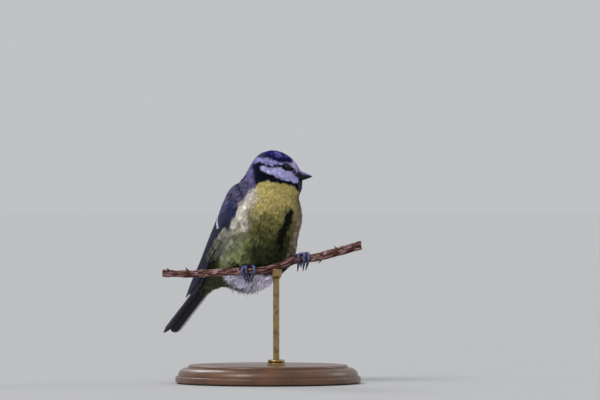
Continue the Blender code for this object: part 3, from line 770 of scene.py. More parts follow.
def body_colours(points, share, angle):
    """Colours of everything below the collar."""
    forward, left, up = to_body(points).T
    side = np.degrees(np.abs(angle))
    coarse = mottle(points * (1.0, 1.0, 0.6), 4.0, 31)
    fine = mottle(points * (1.0, 1.0, 0.4), 1.1, 32)
    wander = 0.6 * coarse + 0.4 * fine
    # the belly is painted darker towards its bottom and in its olive middle: painted shade over its yellow and olive
    belly = blend(SHADED_BELLY_YELLOW, BREAST_PALE, ease(up + 3 * wander, 16, 27))
    belly = blend(belly, BREAST_YELLOW, ease(up + 3 * wander, 23, 35))
    green = blend(SHADED_BELLY_OLIVE, BELLY_GREEN, ease(side * (left < 0) + 12 * wander, 26, 56))
    belly = blend(belly, green, 1 - ease(up + 3 * wander, 8, 22))
    pale = blend(FLANK_CREAM, SHOULDER_CREAM, ease(up + 2 * wander, 13, 29))
    pale = blend(BELLY_GREEN, pale, ease(up + 2 * coarse, 0, 10))
    cream = ease(side + 9 * wander - 10 * ease(up, 34, 40), 50, 72) * (1 - ease(up, 39.5, 42))
    belly = blend(belly, pale, 0.92 * cream)
    # the far side's pale edge, partly pale flank and partly painted rim light
    far = ease(left + 1.5 * wander, 3.6, 7.5) * ease(up + 2 * coarse, 2, 9)
    belly = blend(belly, FAR_CREAM_RIM_LIGHT, 0.9 * far)
    near_line = np.exp(-((left - line_height(FLECK_LINE, up)) / 2.6) ** 2) * ease(up, 2, 5) * (1 - ease(up, 17, 24))
    # the lower front belly, where the flecks are laid on thicker as painted shade
    shade = (1 - ease(up, 16, 30)) * (1 - ease(side, 45, 65)) * (1 - far)
    flecks_and_shade = ease(fine + 0.5 * near_line, 0.25, 0.75) * np.maximum(0.55 * shade, near_line)
    flecks_and_shade = np.maximum(flecks_and_shade, 0.35 * ease(fine, 0.35, 0.8) * (1 - ease(up, 30, 36)))
    belly = blend(belly, FLECK_AND_SHADE_OLIVE, flecks_and_shade)
    ups, middles, half_widths = np.array(STREAK).T
    off_middle = np.abs(left - np.interp(up, ups, middles) + 0.5 * wander)
    width = np.interp(up, ups, half_widths) * (1 + 0.3 * fine)
    streak = (1 - ease(off_middle, 0.75 * width, 1.2 * width)) * ease(up, 7, 9.5) * (1 - ease(up, 29.5, 31.5))
    belly = blend(belly, BELLY_STREAK, streak * (forward > 0))
    fluff = (1 - ease(up + 1.2 * wander, -2.4, -0.4)) * ease(share, 0.29, 0.38)
    belly = blend(belly, FLUFF_WHITE, fluff)
    belly = blend(belly, VENT_GREY, 1 - ease(share + 0.03 * wander, 0.22, 0.32))
    back = blend(BACK_OLIVE, MANTLE_GREY, ease(share + 0.04 * wander, 0.40, 0.62))
    back = blend(RUMP_GREEN, back, ease(share + 0.04 * wander, 0.24, 0.42))
    back = blend(back, TAIL_BLUE, 0.7 * (1 - ease(share, 0.06, 0.16)))
    nape = ease(share + 0.02 * wander, 0.81, 0.87)
    back = blend(back, NAPE_LILAC, 0.8 * nape)
    edge = line_height(DORSAL_ANGLES, share)
    return blend(belly, back, ease(side + 2 * wander, edge - 3, edge + 4))


def markings(points):
    """The bird's colour at each point of its surface."""
    share, angle, _ = round_spine(points)
    head, on_head = head_colours(points)
    return blend(body_colours(points, share, angle), head, on_head * ease(share, 0.70, 0.76))


# Skin

FLESH = ("bird_head", "bird_neck", "bird_breast", "bird_belly", "bird_rump")
SEAM_FILL = 0.25                # each flesh solid grows by this, so that they meet over their gaps
SKIN_GRAIN = 0.62
BILL_BASE = from_head((11.0, 0.0, -3.2))


def coat_depth(points):
    """How far the skin lies inside the coat's outline."""
    from_bill = np.linalg.norm(points - BILL_BASE, axis=-1)
    return 0.3 + 0.6 * ease(from_bill, 2.5, 16) + 0.7 * ease(from_bill, 18, 40)


def smoothed(name, mesh, factor, rounds):
    """The mesh with its points drawn evenly together."""
    thing = working(name, mesh)
    smooth = thing.modifiers.new("smooth", "SMOOTH")
    smooth.factor = factor
    smooth.iterations = rounds
    return settled(thing)


def remeshed(name, mesh, grain):
    """One closed surface in even small faces over everything in the mesh."""
    thing = working(name, mesh)
    remesh = thing.modifiers.new("remesh", "REMESH")
    remesh.mode = "VOXEL"
    remesh.voxel_size = grain * MM
    return settled(thing)


def grown_over(name, nodes, growth, grain, rounds):
    """One smooth closed surface over some solids that have grown by so much."""
    shape = bmesh.new()
    for node in nodes:
        shape.from_mesh(frame["nodes"][node].data)
    bmesh.ops.remove_doubles(shape, verts=shape.verts, dist=1e-6)
    shape.normal_update()
    for vertex in shape.verts:
        vertex.co += vertex.normal * growth * MM
    mesh = bpy.data.meshes.new("grown")
    shape.to_mesh(mesh)
    shape.free()
    return smoothed(name, remeshed(name, mesh, grain), 0.5, rounds)


def draw_in(mesh, depth):
    moved = points_of(mesh) - normals_of(mesh) * np.reshape(depth, (-1, 1))
    mesh.vertices.foreach_set("co", (moved * MM).ravel())


def make_skin():
    """One closed skin grown over the flesh solids, then drawn in by the coat's depth."""
    mesh = grown_over("skin", FLESH, SEAM_FILL, SKIN_GRAIN, 8)
    draw_in(mesh, coat_depth(points_of(mesh)) + SEAM_FILL)
    mesh = smoothed("skin", mesh, 0.5, 5)
    mesh.shade_smooth()
    store(mesh, "tint", markings(points_of(mesh)), "FLOAT_COLOR")
    return mesh


CAPE_GROWTH, CAPE_GRAIN = 2.4, 0.8      # hollows up to twice the growth in width are bridged


def make_cape():
    """The surface that mantle and shoulder feathers lie on: it runs over the hollows beside the wings."""
    mesh = grown_over("cape", FLESH + ("bird_wing_left", "bird_wing_right"), CAPE_GROWTH, CAPE_GRAIN, 6)
    draw_in(mesh, np.full(len(mesh.vertices), CAPE_GROWTH))
    return smoothed("cape", mesh, 0.5, 3)


# Eyes

EYE_RADIUS = 1.65
EYE_AROUND, EYE_RINGS = 48, 28
# turn from the eye's axis and distance from its middle, from the rim round by the hidden outer edge
LID_PROFILE = [(1.14, 1.61), (1.08, 1.66), (1.09, 1.73), (1.16, 1.77), (1.26, 1.78), (1.40, 1.80), (1.56, 1.86),
               (1.72, 1.95), (1.86, 2.02), (1.94, 1.86), (1.66, 1.68), (1.34, 1.62), (1.18, 1.59)]



def eye_middle(side):
    low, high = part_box(f"bird_eye_{side}")
    return np.array((low + high) / 2) / MM


def eye_axis(side):
    """Straight out of the eye: mostly sideways, a little forward and up."""
    sign = 1 if side == "left" else -1
    return unit(np.array([0.26, sign * 1.0, 0.10]) @ HEAD_AXES)


def cross_frame(axis):
    """Two directions square to an axis, the first as level as can be."""
    across = unit(np.cross(axis, (0, 0, 1.0)))
    return across, np.cross(across, axis)


def make_eye(side, finish):
    middle, axis = eye_middle(side), eye_axis(side)
    across, up = cross_frame(axis)
    turns = np.linspace(0, math.pi, EYE_RINGS)[1:-1]
    angles = np.linspace(0, 2 * math.pi, EYE_AROUND, endpoint=False)
    circle = across * np.cos(angles)[:, None] + up * np.sin(angles)[:, None]
    # the front bulges a little, as a cornea does
    bulge = 1 + 0.05 * np.exp(-((turns / 0.55) ** 2))
    rings = axis * (np.cos(turns) * bulge)[:, None, None] + circle * (np.sin(turns) * bulge)[:, None, None]
    poles = np.array([axis * 1.05, -axis])
    points = middle + EYE_RADIUS * np.vstack([rings.reshape(-1, 3), poles])
    faces = ring_faces(len(turns), EYE_AROUND, capped=False)
    front, back = len(points) - 2, len(points) - 1
    last = (len(turns) - 1) * EYE_AROUND
    for place in range(EYE_AROUND):
        after = (place + 1) % EYE_AROUND
        faces.append((front, after, place))
        faces.append((back, last + place, last + after))
    mesh = outward(mesh_of(f"eye_{side}", points, faces))
    reach = np.concatenate([np.repeat(turns, EYE_AROUND), [0, math.pi]])
    store(mesh, "reach", reach)
    shown(f"eye_{side}", mesh, finish, "eye", f"bird_eye_{side}")


def make_lids(side, finish):
    """A wrinkled ring of bare skin: it starts on the eyeball and dives under the face's feathers."""
    middle, axis = eye_middle(side), eye_axis(side)
    across, up = cross_frame(axis)
    around = 64
    angles = np.linspace(0, 2 * math.pi, around, endpoint=False)
    circle = across * np.cos(angles)[:, None] + up * np.sin(angles)[:, None]
    wrinkle = 0.025 * np.sin(angles * 17) + 0.015 * np.sin(angles * 29 + 1)
    points = []
    for turn, distance in LID_PROFILE:
        opening = turn + 0.06 * np.cos(2 * angles) * (turn < 1.2)
        far = distance + wrinkle * (distance > 1.74)
        points.append(middle + axis * (np.cos(opening) * far)[:, None] + circle * (np.sin(opening) * far)[:, None])
    count = len(LID_PROFILE)
    ring, place = np.divmod(np.arange(count * around), around)
    onward, after = (ring + 1) % count, (place + 1) % around
    quads = np.column_stack([ring * around + place, ring * around + after, onward * around + after,
                             onward * around + place])
    mesh = outward(mesh_of(f"eyelids_{side}", np.vstack(points), quads.tolist()))
    shown(f"eyelids_{side}", mesh, finish, "plumage_blue")


# Bill

BILL_ROOT, BILL_FEATHER_LINE, BILL_LENGTH = 9.4, 12.0, 6.6
BILL_TIP = BILL_FEATHER_LINE + BILL_LENGTH
BILL_GAPE, BILL_DROOP = -3.2, 0.2
BILL_HALF_WIDTH, BILL_TOP, BILL_BOTTOM = 2.25, 2.6, 2.9
BILL_STATIONS, BILL_AROUND = 48, 36


BILL_FIT = 0.35                 # how far the lower mandible reaches up into the upper one


BRISTLES = 44


NOSTRIL_FORWARD, NOSTRIL_RISE = 12.9, 0.55


def make_mandible(name, side, length_share, finish, node):
    """One mandible; side is 1 above the gape and -1 below it, which fits up into the upper one."""
    shares = np.linspace(0, length_share, BILL_STATIONS)[:, None]
    angles = np.linspace(0, 2 * math.pi, BILL_AROUND, endpoint=False)[None]
    half_width = (BILL_HALF_WIDTH * (1 - shares) ** 0.75 + 0.2) * (1.0 if side > 0 else 0.94)
    tall = BILL_TOP * (1 - shares**1.6) + 0.12 if side > 0 else BILL_BOTTOM * (1 - shares**1.7) + 0.08
    forward = BILL_ROOT + (BILL_TIP - BILL_ROOT) * shares + 0 * angles
    gape = BILL_GAPE - BILL_DROOP * shares**2
    across, rise = np.cos(angles), np.sin(angles) * side
    outer, inner = np.maximum(rise, 0), np.maximum(-rise, 0)
    # the ridge along the middle is narrower than a half round
    across = np.sign(across) * np.abs(across) ** (1 + 0.35 * outer)
    hollow = 0.10 * np.exp(-(((outer - 0.45) / 0.12) ** 2)) * (1 - shares) ** 0.5
    nostril = np.exp(-(((forward - NOSTRIL_FORWARD) / 0.4) ** 2) - ((outer - NOSTRIL_RISE) / 0.13) ** 2) * (side > 0)
    fit = BILL_FIT * (1 - shares) + 0.02
    height = gape + side * (outer * tall - (0.03 if side > 0 else fit) * inner)
    points = np.stack([forward, across * (half_width - hollow - 0.12 * nostril), height], axis=-1)
    mesh = outward(mesh_of(name, from_head(points.reshape(-1, 3)), ring_faces(BILL_STATIONS, BILL_AROUND)))
    store(mesh, "rise", ((1.0 if side > 0 else 0.15) * outer + 0 * forward).ravel())
    store(mesh, "nostril", (nostril + 0 * outer).ravel())
    shown(name, mesh, finish, "bill_horn", node)


def make_bristles(finish):
    """Short stiff hairs that lean forward over the bill's base."""
    chance = np.random.default_rng(41)
    shapes = Shapes()
    for number in range(BRISTLES):
        turn = chance.uniform(-0.25, 1.35)
        sign = 1 if number % 2 else -1
        root = np.array([11.5 - 0.3 * math.cos(turn), sign * 2.35 * math.cos(turn), BILL_GAPE + 2.6 * math.sin(turn)])
        aim = unit(np.array([1.0, sign * chance.uniform(0.0, 0.25), chance.uniform(-0.35, 0.1)]))
        shares = np.linspace(0, 1, 5)[:, None]
        droop = np.array([0, 0, -0.35]) * shares**2
        line = root + aim * shares * chance.uniform(1.5, 2.6) + droop
        radii = 0.035 * (1 - 0.85 * shares[:, 0])
        shapes.add(tube_points(from_head(line), radii, 4), ring_faces(5, 4))
    shown("bill_bristles", outward(shapes.mesh("bill_bristles")), finish, "plumage_blue")


# Scattered places for feathers

def surface_tree(mesh):
    """A tree of the mesh's faces in millimetres."""
    mesh.calc_loop_triangles()
    triangles = np.empty(len(mesh.loop_triangles) * 3, np.int32)
    mesh.loop_triangles.foreach_get("vertices", triangles)
    triangles = triangles.reshape(-1, 3)
    points = points_of(mesh)
    return BVHTree.FromPolygons(points.tolist(), triangles.tolist()), points, triangles


def nearest_on(tree, points):
    """The nearest places on a surface and its normals there."""
    found = [tree.find_nearest(point)[:2] for point in points.tolist()]
    return np.array([place for place, _ in found]), np.array([normal for _, normal in found])


def scattered(points, triangles, spacing, candidates, seed):
    """Random places on triangles that keep the spacing that a function gives for each of them."""
    chance = np.random.default_rng(seed)
    a, b, c = (points[triangles[:, corner]] for corner in range(3))
    cross = np.cross(b - a, c - a)
    area = np.linalg.norm(cross, axis=1)
    middle = (a + b + c) / 3
    weight = area / spacing(middle) ** 2
    chosen = chance.choice(len(area), candidates, p=weight / weight.sum())
    u, v = np.sqrt(chance.random(candidates)), chance.random(candidates)
    places = a[chosen] * (1 - u)[:, None] + b[chosen] * (u * (1 - v))[:, None] + c[chosen] * (u * v)[:, None]
    gaps = spacing(places)
    tree = KDTree(candidates)
    for number, place in enumerate(places.tolist()):
        tree.insert(place, number)
    tree.balance()
    blocked = np.zeros(candidates, bool)
    kept = []
    for number in range(candidates):
        if blocked[number]:
            continue
        kept.append(number)
        for _, other, _ in tree.find_range(places[number].tolist(), gaps[number]):
            blocked[other] = True
    return places[kept], unit(cross)[chosen[kept]]


# Wings: a sheet over each wing solid, on which single feathers lie

WING_LINE = [(-6.0, 13.4, 35.6), (-11.3, 15.9, 30.6), (-18.0, 16.4, 22.6), (-27.2, 14.9, 11.2),
             (-35.4, 12.0, 2.2), (-43.4, 8.8, -5.6), (-51.5, 4.9, -13.2)]
WING_WIDTHS = [9.0, 17.5, 20.5, 18.5, 14.5, 9.0, 3.8]
WING_INNER = 1.45
WING_TURN = [20, 32, 42, 50, 60, 72, 82]
WING_CURVE = 0.10
SHEET_ROWS, SHEET_COLUMNS = 49, 29


class Sheet:
    """A curved sheet read at a row place of 0 to 1 and a column place in its own units."""

    def __init__(self, grid, outwards, first, last, widths):
        self.grid = grid
        self.normals = outwards
        self.first, self.last = first, last
        self.widths = widths
        # a whole sheet's run straight on from each end
        self.ends = [(grid[low + 3] - grid[low]).mean(0) / 3 * (len(grid) - 1) for low in (0, -4)]

    def read(self, table, along, across):
        rows, columns = table.shape[:2]
        r = np.clip(along, 0, 1) * (rows - 1)
        c = (across - self.first) / (self.last - self.first) * (columns - 1)
        r0 = np.clip(r.astype(int), 0, rows - 2)
        c0 = np.clip(np.floor(c).astype(int), 0, columns - 2)
        fr, fc = (r - r0)[..., None], (c - c0)[..., None]
        upper = table[r0, c0] * (1 - fc) + table[r0, c0 + 1] * fc
        lower = table[r0 + 1, c0] * (1 - fc) + table[r0 + 1, c0 + 1] * fc
        return upper * (1 - fr) + lower * fr

    def at(self, along, across, height):
        """The place at a height over the sheet; across and height are in the sheet's units and mm."""
        along, across = np.broadcast_arrays(along, across)
        normal = unit(self.read(self.normals, along, across))
        place = self.read(self.grid, along, across) + normal * np.asarray(height)[..., None]
        before, beyond = np.minimum(along, 0)[..., None], np.maximum(along - 1, 0)[..., None]
        return place + before * self.ends[0] + beyond * self.ends[1]

    def unit_width(self, along):
        """Millimetres for one unit across."""
        places = np.linspace(0, 1, len(self.widths))
        return np.interp(along, places, self.widths) / 2


def smoothed_grid(grid, rounds):
    for _ in range(rounds):
        padded = np.pad(grid, ((1, 1), (1, 1), (0, 0)), mode="edge")
        cross = padded[:-2, 1:-1] + padded[2:, 1:-1] + padded[1:-1, :-2] + padded[1:-1, 2:]
        middle = (grid * 2 + cross) / 6
        grid = np.concatenate([grid[:1], middle[1:-1], grid[-1:]])
    return grid


def wing_sheet(side):
    """The outer face of a wing solid, found by looking straight in at it."""
    sign = 1 if side == "left" else -1
    line = smooth_curve(WING_LINE, SHEET_ROWS)
    widths = smooth_curve(np.array(WING_WIDTHS)[:, None], SHEET_ROWS)[:, 0]
    turns = np.radians(smooth_curve(np.array(WING_TURN, float)[:, None], SHEET_ROWS)[:, 0])
    facing = np.column_stack([-np.sin(turns), np.cos(turns), np.zeros(SHEET_ROWS)])
    tangents = unit(np.gradient(line, axis=0))
    facing = unit(facing - tangents * (facing * tangents).sum(1)[:, None])
    chord = unit(np.cross(facing, tangents))
    across = np.linspace(-1, WING_INNER, SHEET_COLUMNS)[:, None]
    grid = line[:, None] + chord[:, None] * across * widths[:, None, None] / 2
    grid = grid - facing[:, None] * across**2 * widths[:, None, None] * WING_CURVE
    grid[..., 1] *= sign
    facing[:, 1] *= sign
    grid = from_body(grid)
    facing = np.broadcast_to((facing @ BODY_AXES)[:, None], grid.shape)
    tree, _, _ = surface_tree(frame["nodes"][f"bird_wing_{side}"].data)
    found = grid.copy()
    for row in range(SHEET_ROWS):
        for column in range(SHEET_COLUMNS):
            start = Vector(grid[row, column] + facing[row, column] * 9)
            hit = tree.ray_cast(start, Vector(-facing[row, column]), 18)[0]
            if hit is None:
                hit = tree.find_nearest(Vector(grid[row, column] + facing[row, column]))[0]
            found[row, column] = hit
    found = smoothed_grid(found, 3)
    outwards = unit(np.cross(np.gradient(found, axis=0), np.gradient(found, axis=1)))
    outwards = outwards * np.sign((outwards * facing).sum(-1, keepdims=True))
    return Sheet(found, outwards, -1.0, WING_INNER, widths)


VANE_ROWS, VANE_COLUMNS = 26, 9
VANE_THICKNESS = 0.10


def vane(shapes, shafts, sheet, start, end, width, paints, height=0.0, tilt=0.0, camber=0.25, outer_share=0.5,
         point=0.55, fringe=0.12, tip=0.0, bow=0.0, seed=0, rise=0.0, both_edges=False):
    """One feather laid on a sheet, from start to end, each a place along and across it.

    Its outer web is the one towards lower places across. tilt lifts the outer edge over its neighbour.
    paints are its own colour, its edge's and its tip's; fringe and tip say how much of it they cover.
    """
    chance = np.random.default_rng(seed)
    q = np.sin(np.linspace(0, math.pi / 2, VANE_ROWS)) ** 1.15
    q = q[:, None]
    spread = np.linspace(-1, 1, VANE_COLUMNS)[None]
    # the web widens from the quill, runs on and rounds off at the tip
    opening = ease(q, -0.05, 0.30)
    rounding = np.clip((1 - q) / (1 - point), 0, 1)
    half = opening * np.sqrt(np.clip(1 - (1 - rounding) ** 2, 0, 1)) * 0.5 * width
    ragged = 1 + 0.05 * np.sin(q * 31 + chance.uniform(0, 6)) * np.sin(q * 67 + chance.uniform(0, 6))
    reach = np.where(spread < 0, 2 * outer_share, 2 * (1 - outer_share)) * np.abs(spread) * half * ragged
    offset = np.sign(spread) * reach
    along = start[0] + (end[0] - start[0]) * q + 0 * spread
    middle = start[1] + (end[1] - start[1]) * q + bow * np.sin(math.pi * q)
    across = middle + offset / sheet.unit_width(along)
    lift = height + rise * q - tilt * offset / max(width, 0.1) * 2 + camber * (1 - spread**2) * opening
    top = sheet.at(along, across, lift)
    under = sheet.at(along, across, lift - VANE_THICKNESS)
    middle_column = VANE_COLUMNS // 2
    length = np.linalg.norm(top[-1, middle_column] - top[0, middle_column])
    barb = q * length - 0.85 * np.abs(offset)
    if both_edges:
        edge = np.abs(spread) ** (1 / max(fringe, 1e-3)) + 0 * q
    else:
        edge = np.clip(-spread, 0, 1) ** (1 / max(fringe, 1e-3)) + 0 * q
    edge = edge * ease(q, 0.1, 0.3)
    at_tip = ease(q, 1 - 1.6 * tip - 1e-3, 1 - 0.6 * tip) * (tip > 0) + 0 * spread
    tints = paints + (paints[-1],) * (3 - len(paints))
    shade = chance.uniform(0.86, 1.14)
    doubled = {name: np.tile(values.ravel(), 2) for name, values in
               (("barb", barb), ("fringe", edge), ("tip", at_tip))}
    for name, tint in zip(("tint", "edge_tint", "tip_tint"), tints):
        doubled[name] = np.tile(tint * shade, (2 * top[..., 0].size, 1))
    faces = sheet_faces(VANE_ROWS, VANE_COLUMNS)
    shapes.add(np.vstack([top.reshape(-1, 3), under.reshape(-1, 3)]), faces, **doubled)
    # the shaft runs along the middle, over both faces of the web
    keep = slice(0, VANE_ROWS - 1, 1)
    line = (top[keep, middle_column] + under[keep, middle_column]) / 2
    radii = 0.018 * width * (1 - 0.85 * q[keep, 0]) + 0.035
    rings = tube_points(line, radii, 6)
    shafts.add(rings, ring_faces(len(line), 6))


def wing_feathers(side, finish, shaft):
    """All feathers of one folded wing, laid from the lowest layer up."""
    sheet = wing_sheet(side)
    node = f"bird_wing_{side}"
    shafts = Shapes()

    def group(name, feathers):
        shapes = Shapes()
        for number, feather in enumerate(feathers):
            vane(shapes, shafts, sheet, seed=len(name) * 100 + number, **feather)
        mesh = outward(shapes.mesh(f"{name}_{side}"))
        shown(f"{name}_{side}", mesh, finish, "wing_feathers", node)

    def fan(count, roots, tips, **common):
        """Feathers spaced evenly from the leading edge inwards; roots and tips are rows of places."""
        feathers = []
        for share in np.linspace(0, 1, count):
            made = dict(common)
            for key, value in common.items():
                if isinstance(value, list):
                    made[key] = float(np.interp(share, np.linspace(0, 1, len(value)), value))
            for key, places in (("start", roots), ("end", tips)):
                steps = np.linspace(0, 1, len(places))
                made[key] = tuple(np.interp(share, steps, values) for values in np.transpose(places))
            feathers.append(made)
        return feathers

    flight = (WING_SLATE, WING_EDGE, WING_EDGE)
    # the far wing's leading edge is tucked into the flank
    lead = [(0.955, -1.6), (1.0, -0.8), (0.95, -0.1)] if side == "right" else [(0.93, -0.15), (0.96, 0.0), (0.93, 0.15)]
    blue = (COVERT_BLUE, COVERT_EDGE, COVERT_EDGE)
    group("primaries", fan(9, [(0.22, -0.65), (0.22, -0.2)],
                           lead + [(0.87, 0.35)], width=[5.2, 5.4, 5.6],
                           paints=flight, height=[-0.9, -0.7], rise=0.8, tilt=0.18, camber=0.12, outer_share=0.34, point=0.82,
                           fringe=0.26, bow=[-0.07, 0.0]))
    if side == "right":
        group("outer_primaries", fan(3, [(0.46, -0.7), (0.5, -0.6)], [(0.83, -2.75), (0.90, -1.9)], width=4.4,
                                     paints=flight, height=[-1.15, -1.0], rise=0.5, tilt=0.15, camber=0.12,
                                     outer_share=0.4, point=0.8, fringe=0.2))
    group("secondaries", fan(7, [(0.22, -0.25), (0.20, 0.7)], [(0.84, 0.42), (0.80, 0.75), (0.74, 1.15)],
                             width=[6.0, 6.6], paints=flight, height=[-0.67, -0.47], rise=0.55, tilt=0.2, camber=0.15,
                             outer_share=0.36, point=0.86, fringe=0.26))
    group("tertials", fan(3, [(0.16, 0.62), (0.14, 0.95)], [(0.74, 0.92), (0.62, 1.08), (0.50, 1.18)],
                          width=[6.4, 6.8, 6.2], paints=(TERTIAL_SLATE, WING_EDGE, BAR_WHITE), height=[-0.4, -0.17],
                          rise=0.3, tilt=0.2, camber=0.25, outer_share=0.45, point=0.74, fringe=0.25, tip=0.025))
    group("alula", fan(3, [(0.10, -0.88), (0.09, -0.62)], [(0.40, -0.94), (0.35, -0.80), (0.29, -0.64)],
                       width=[2.6, 3.0], paints=(WING_SLATE, COVERT_EDGE, COVERT_EDGE), height=[-0.4, -0.25],
                       tilt=0.18, camber=0.2, outer_share=0.35, point=0.75, fringe=0.3))
    group("primary_coverts", fan(7, [(0.16, -0.88), (0.15, -0.2)], [(0.43, -0.9), (0.41, -0.5), (0.38, -0.12)],
                                 width=[3.2, 3.6], paints=(WING_SLATE, COVERT_EDGE, COVERT_EDGE),
                                 height=[-0.47, -0.3], tilt=0.2, camber=0.2, outer_share=0.4, point=0.75, fringe=0.28))
    group("greater_coverts", fan(10, [(0.13, -0.45), (0.11, 1.1)], [(0.35, -0.3), (0.345, 0.4), (0.31, 1.25)],
                                 width=[4.4, 5.4], paints=(COVERT_BLUE, COVERT_EDGE, BAR_WHITE),
                                 height=[-0.32, -0.14], tilt=0.24, camber=0.25, outer_share=0.45, point=0.7,
                                 fringe=0.34, tip=0.10))
    group("median_coverts", fan(11, [(0.07, -0.86), (0.06, 1.15)], [(0.245, -0.82), (0.245, 0.3), (0.225, 1.25)],
                                width=[3.8, 4.6], paints=blue, height=[-0.2, -0.05], tilt=0.22, camber=0.3,
                                point=0.62, fringe=0.36, both_edges=True))
    lesser = []
    for row, (root, tip, reach) in enumerate(((0.06, 0.19, 12), (0.04, 0.15, 11), (0.02, 0.11, 10))):
        lesser += fan(reach, [(root, -0.9), (root, 1.2)], [(tip, -0.86), (tip, 1.25)], width=3.5 - 0.3 * row,
                      paints=blue, height=-0.75 + 0.09 * row, rise=0.25, tilt=0.1, camber=0.26, point=0.5, fringe=0.4,
                      both_edges=True)
    group("lesser_coverts", lesser)
    mesh = outward(shafts.mesh(f"wing_shafts_{side}"))
    shown(f"wing_shafts_{side}", mesh, shaft, "wing_feathers", node)
    return sheet


# Tail

TAIL_ROOT = (-33.6, 0, 3.0)
TAIL_REACH = 50.0


def tail_sheet():
    """The tail's middle surface: its length for 0 to 1 along, millimetres across."""
    backward = np.array([-math.cos(TAIL_DROP), 0, -math.sin(TAIL_DROP)])
    upper = np.array([-math.sin(TAIL_DROP), 0, math.cos(TAIL_DROP)])
    along = np.linspace(0, 1, 25)[:, None, None] * TAIL_REACH
    across = np.linspace(-7, 7, 15)[None, :, None]
    arch = 1.3 * (across / 5.8) ** 2
    grid = np.array(TAIL_ROOT) + along * backward + across * np.array([0, 1.0, 0]) - upper * arch
    slope = upper + across * np.array([0, 1.0, 0]) * 2 * 1.3 / 5.8**2
    outwards = unit(np.broadcast_to(slope, grid.shape))
    return Sheet(from_body(grid), outwards @ BODY_AXES, -7.0, 7.0, np.array([2.0, 2.0]))


class Mirrored:
    """A sheet read with its left and right exchanged."""

    def __init__(self, sheet):
        self.sheet = sheet

    def at(self, along, across, height):
        return self.sheet.at(along, -across, height)

    def unit_width(self, along):
        return self.sheet.unit_width(along)


def make_tail(finish, shaft):
    """Twelve closed feathers: the middle pair on top, the white-edged outer pair lowest."""
    sheet = tail_sheet()
    shafts = Shapes()
    for side, way in (("left", Mirrored(sheet)), ("right", sheet)):
        shapes = Shapes()
        for rank in range(6):
            outermost = rank == 5
            reach = 0.966 + 0.034 * min(rank / 3, 1.0) - 0.008 * outermost
            edge = TAIL_BLUE
            if outermost:
                edge = TAIL_EDGE if side == "left" else blend(TAIL_BLUE, TAIL_EDGE, 0.3)
            vane(shapes, shafts, way, start=(0.10, -0.9 - 0.62 * rank), end=(reach, -2.55 - 0.26 * rank), width=5.4,
                 paints=(TAIL_SLATE, edge, edge), height=0.42 - 0.17 * rank, tilt=0.03, camber=0.08,
                 outer_share=0.36 if rank else 0.48, point=0.93, fringe=0.6 if outermost and side == "left" else 0.24,
                 tip=0.004 if rank > 2 else 0.0, seed=400 + rank)
        mesh = outward(shapes.mesh(f"tail_feathers_{side}"))
        shown(f"tail_feathers_{side}", mesh, finish, "tail_feathers", "bird_tail")
    mesh = outward(shafts.mesh("tail_shafts"))
    shown("tail_shafts", mesh, shaft, "tail_feathers", "bird_tail")


# Coat

TUFT_VARIANTS = 4
# each kind of tuft: its name, barbs, half width, how loose its barbs are, how far it humps, and a barb's width
TUFT_KINDS = [("sleek", 17, 0.26, 0.02, 0.05, 0.050), ("soft", 17, 0.25, 0.045, 0.07, 0.048),
              ("downy", 19, 0.36, 0.15, 0.10, 0.034)]

PATCH_SIZE = 0.003
COAT_PIECES = 16


def tuft_mesh(name, barbs, half_width, looseness, hump, barb_width, seed):
    """A feather one unit long: narrow barbs that leave its shaft and end on a rounded outline."""
    chance = np.random.default_rng(seed)
    steps = np.array([0.0, 0.38, 0.74, 1.0])
    widths = barb_width * np.array([0.9, 1.0, 0.72])
    shapes = Shapes()
    turns = np.linspace(-1.25, 1.25, barbs) + chance.normal(0, 0.06, barbs)
    for number, turn in enumerate(turns):
        tip = np.array([half_width * math.sin(turn), 0.60 + 0.40 * math.cos(turn * 1.1), 0])
        tip = tip + chance.normal(0, (looseness, 0.6 * looseness + 0.02, 0.5 * looseness))
        root = np.array([0.015 * np.sign(turn), 0.52 * (1 - abs(turn) / 1.35), 0])
        swell = np.array([tip[0] * 1.05, (root[1] + tip[1]) * 0.5 - 0.03, 0])
        q = steps[:, None]
        line = root * (1 - q) ** 2 + 2 * swell * q * (1 - q) + tip * q**2
        line[:, 2] += hump * np.sin(math.pi * np.clip(line[:, 1], 0, 1)) + 0.012 * chance.normal()
        along = unit(np.gradient(line, axis=0))
        across = unit(np.cross(along, (0, 0, 1.0)))
        lean = np.array([0, 0, chance.normal(0, 0.25)])
        edge = unit(across + lean)[:3] * widths[:, None] / 2
        points = np.vstack([line[:3] - edge, line[:3] + edge, line[3:]])
        faces = [(0, 3, 4, 1), (1, 4, 5, 2), (2, 5, 6)]
        value = np.full(7, chance.random())
        shapes.add(points, faces, strand=value, along=np.clip(points[:, 1], 0, 1))
    mesh = shapes.mesh(name)
    places = points_of(mesh)
    patch = np.column_stack([np.clip(places[:, 0] / half_width / 2, -0.5, 0.5), places[:, 1] - 0.5])
    store(mesh, "patch", np.column_stack([patch, np.zeros(len(patch))]), "FLOAT_VECTOR")
    mesh.transform(((1 / MM, 0, 0, 0), (0, 1 / MM, 0, 0), (0, 0, 1 / MM, 0), (0, 0, 0, 1)))
    return mesh


def tuft_collection():
    """All kinds and variants of tuft, in the order that their number counts them."""
    made = bpy.data.collections.new("tufts")
    for kind, (name, *shape) in enumerate(TUFT_KINDS):
        for variant in range(TUFT_VARIANTS):
            number = kind * TUFT_VARIANTS + variant
            mesh = tuft_mesh(f"tuft_{number:02d}_{name}", *shape, 50 + number)
            made.objects.link(bpy.data.objects.new(mesh.name, mesh))
    return made


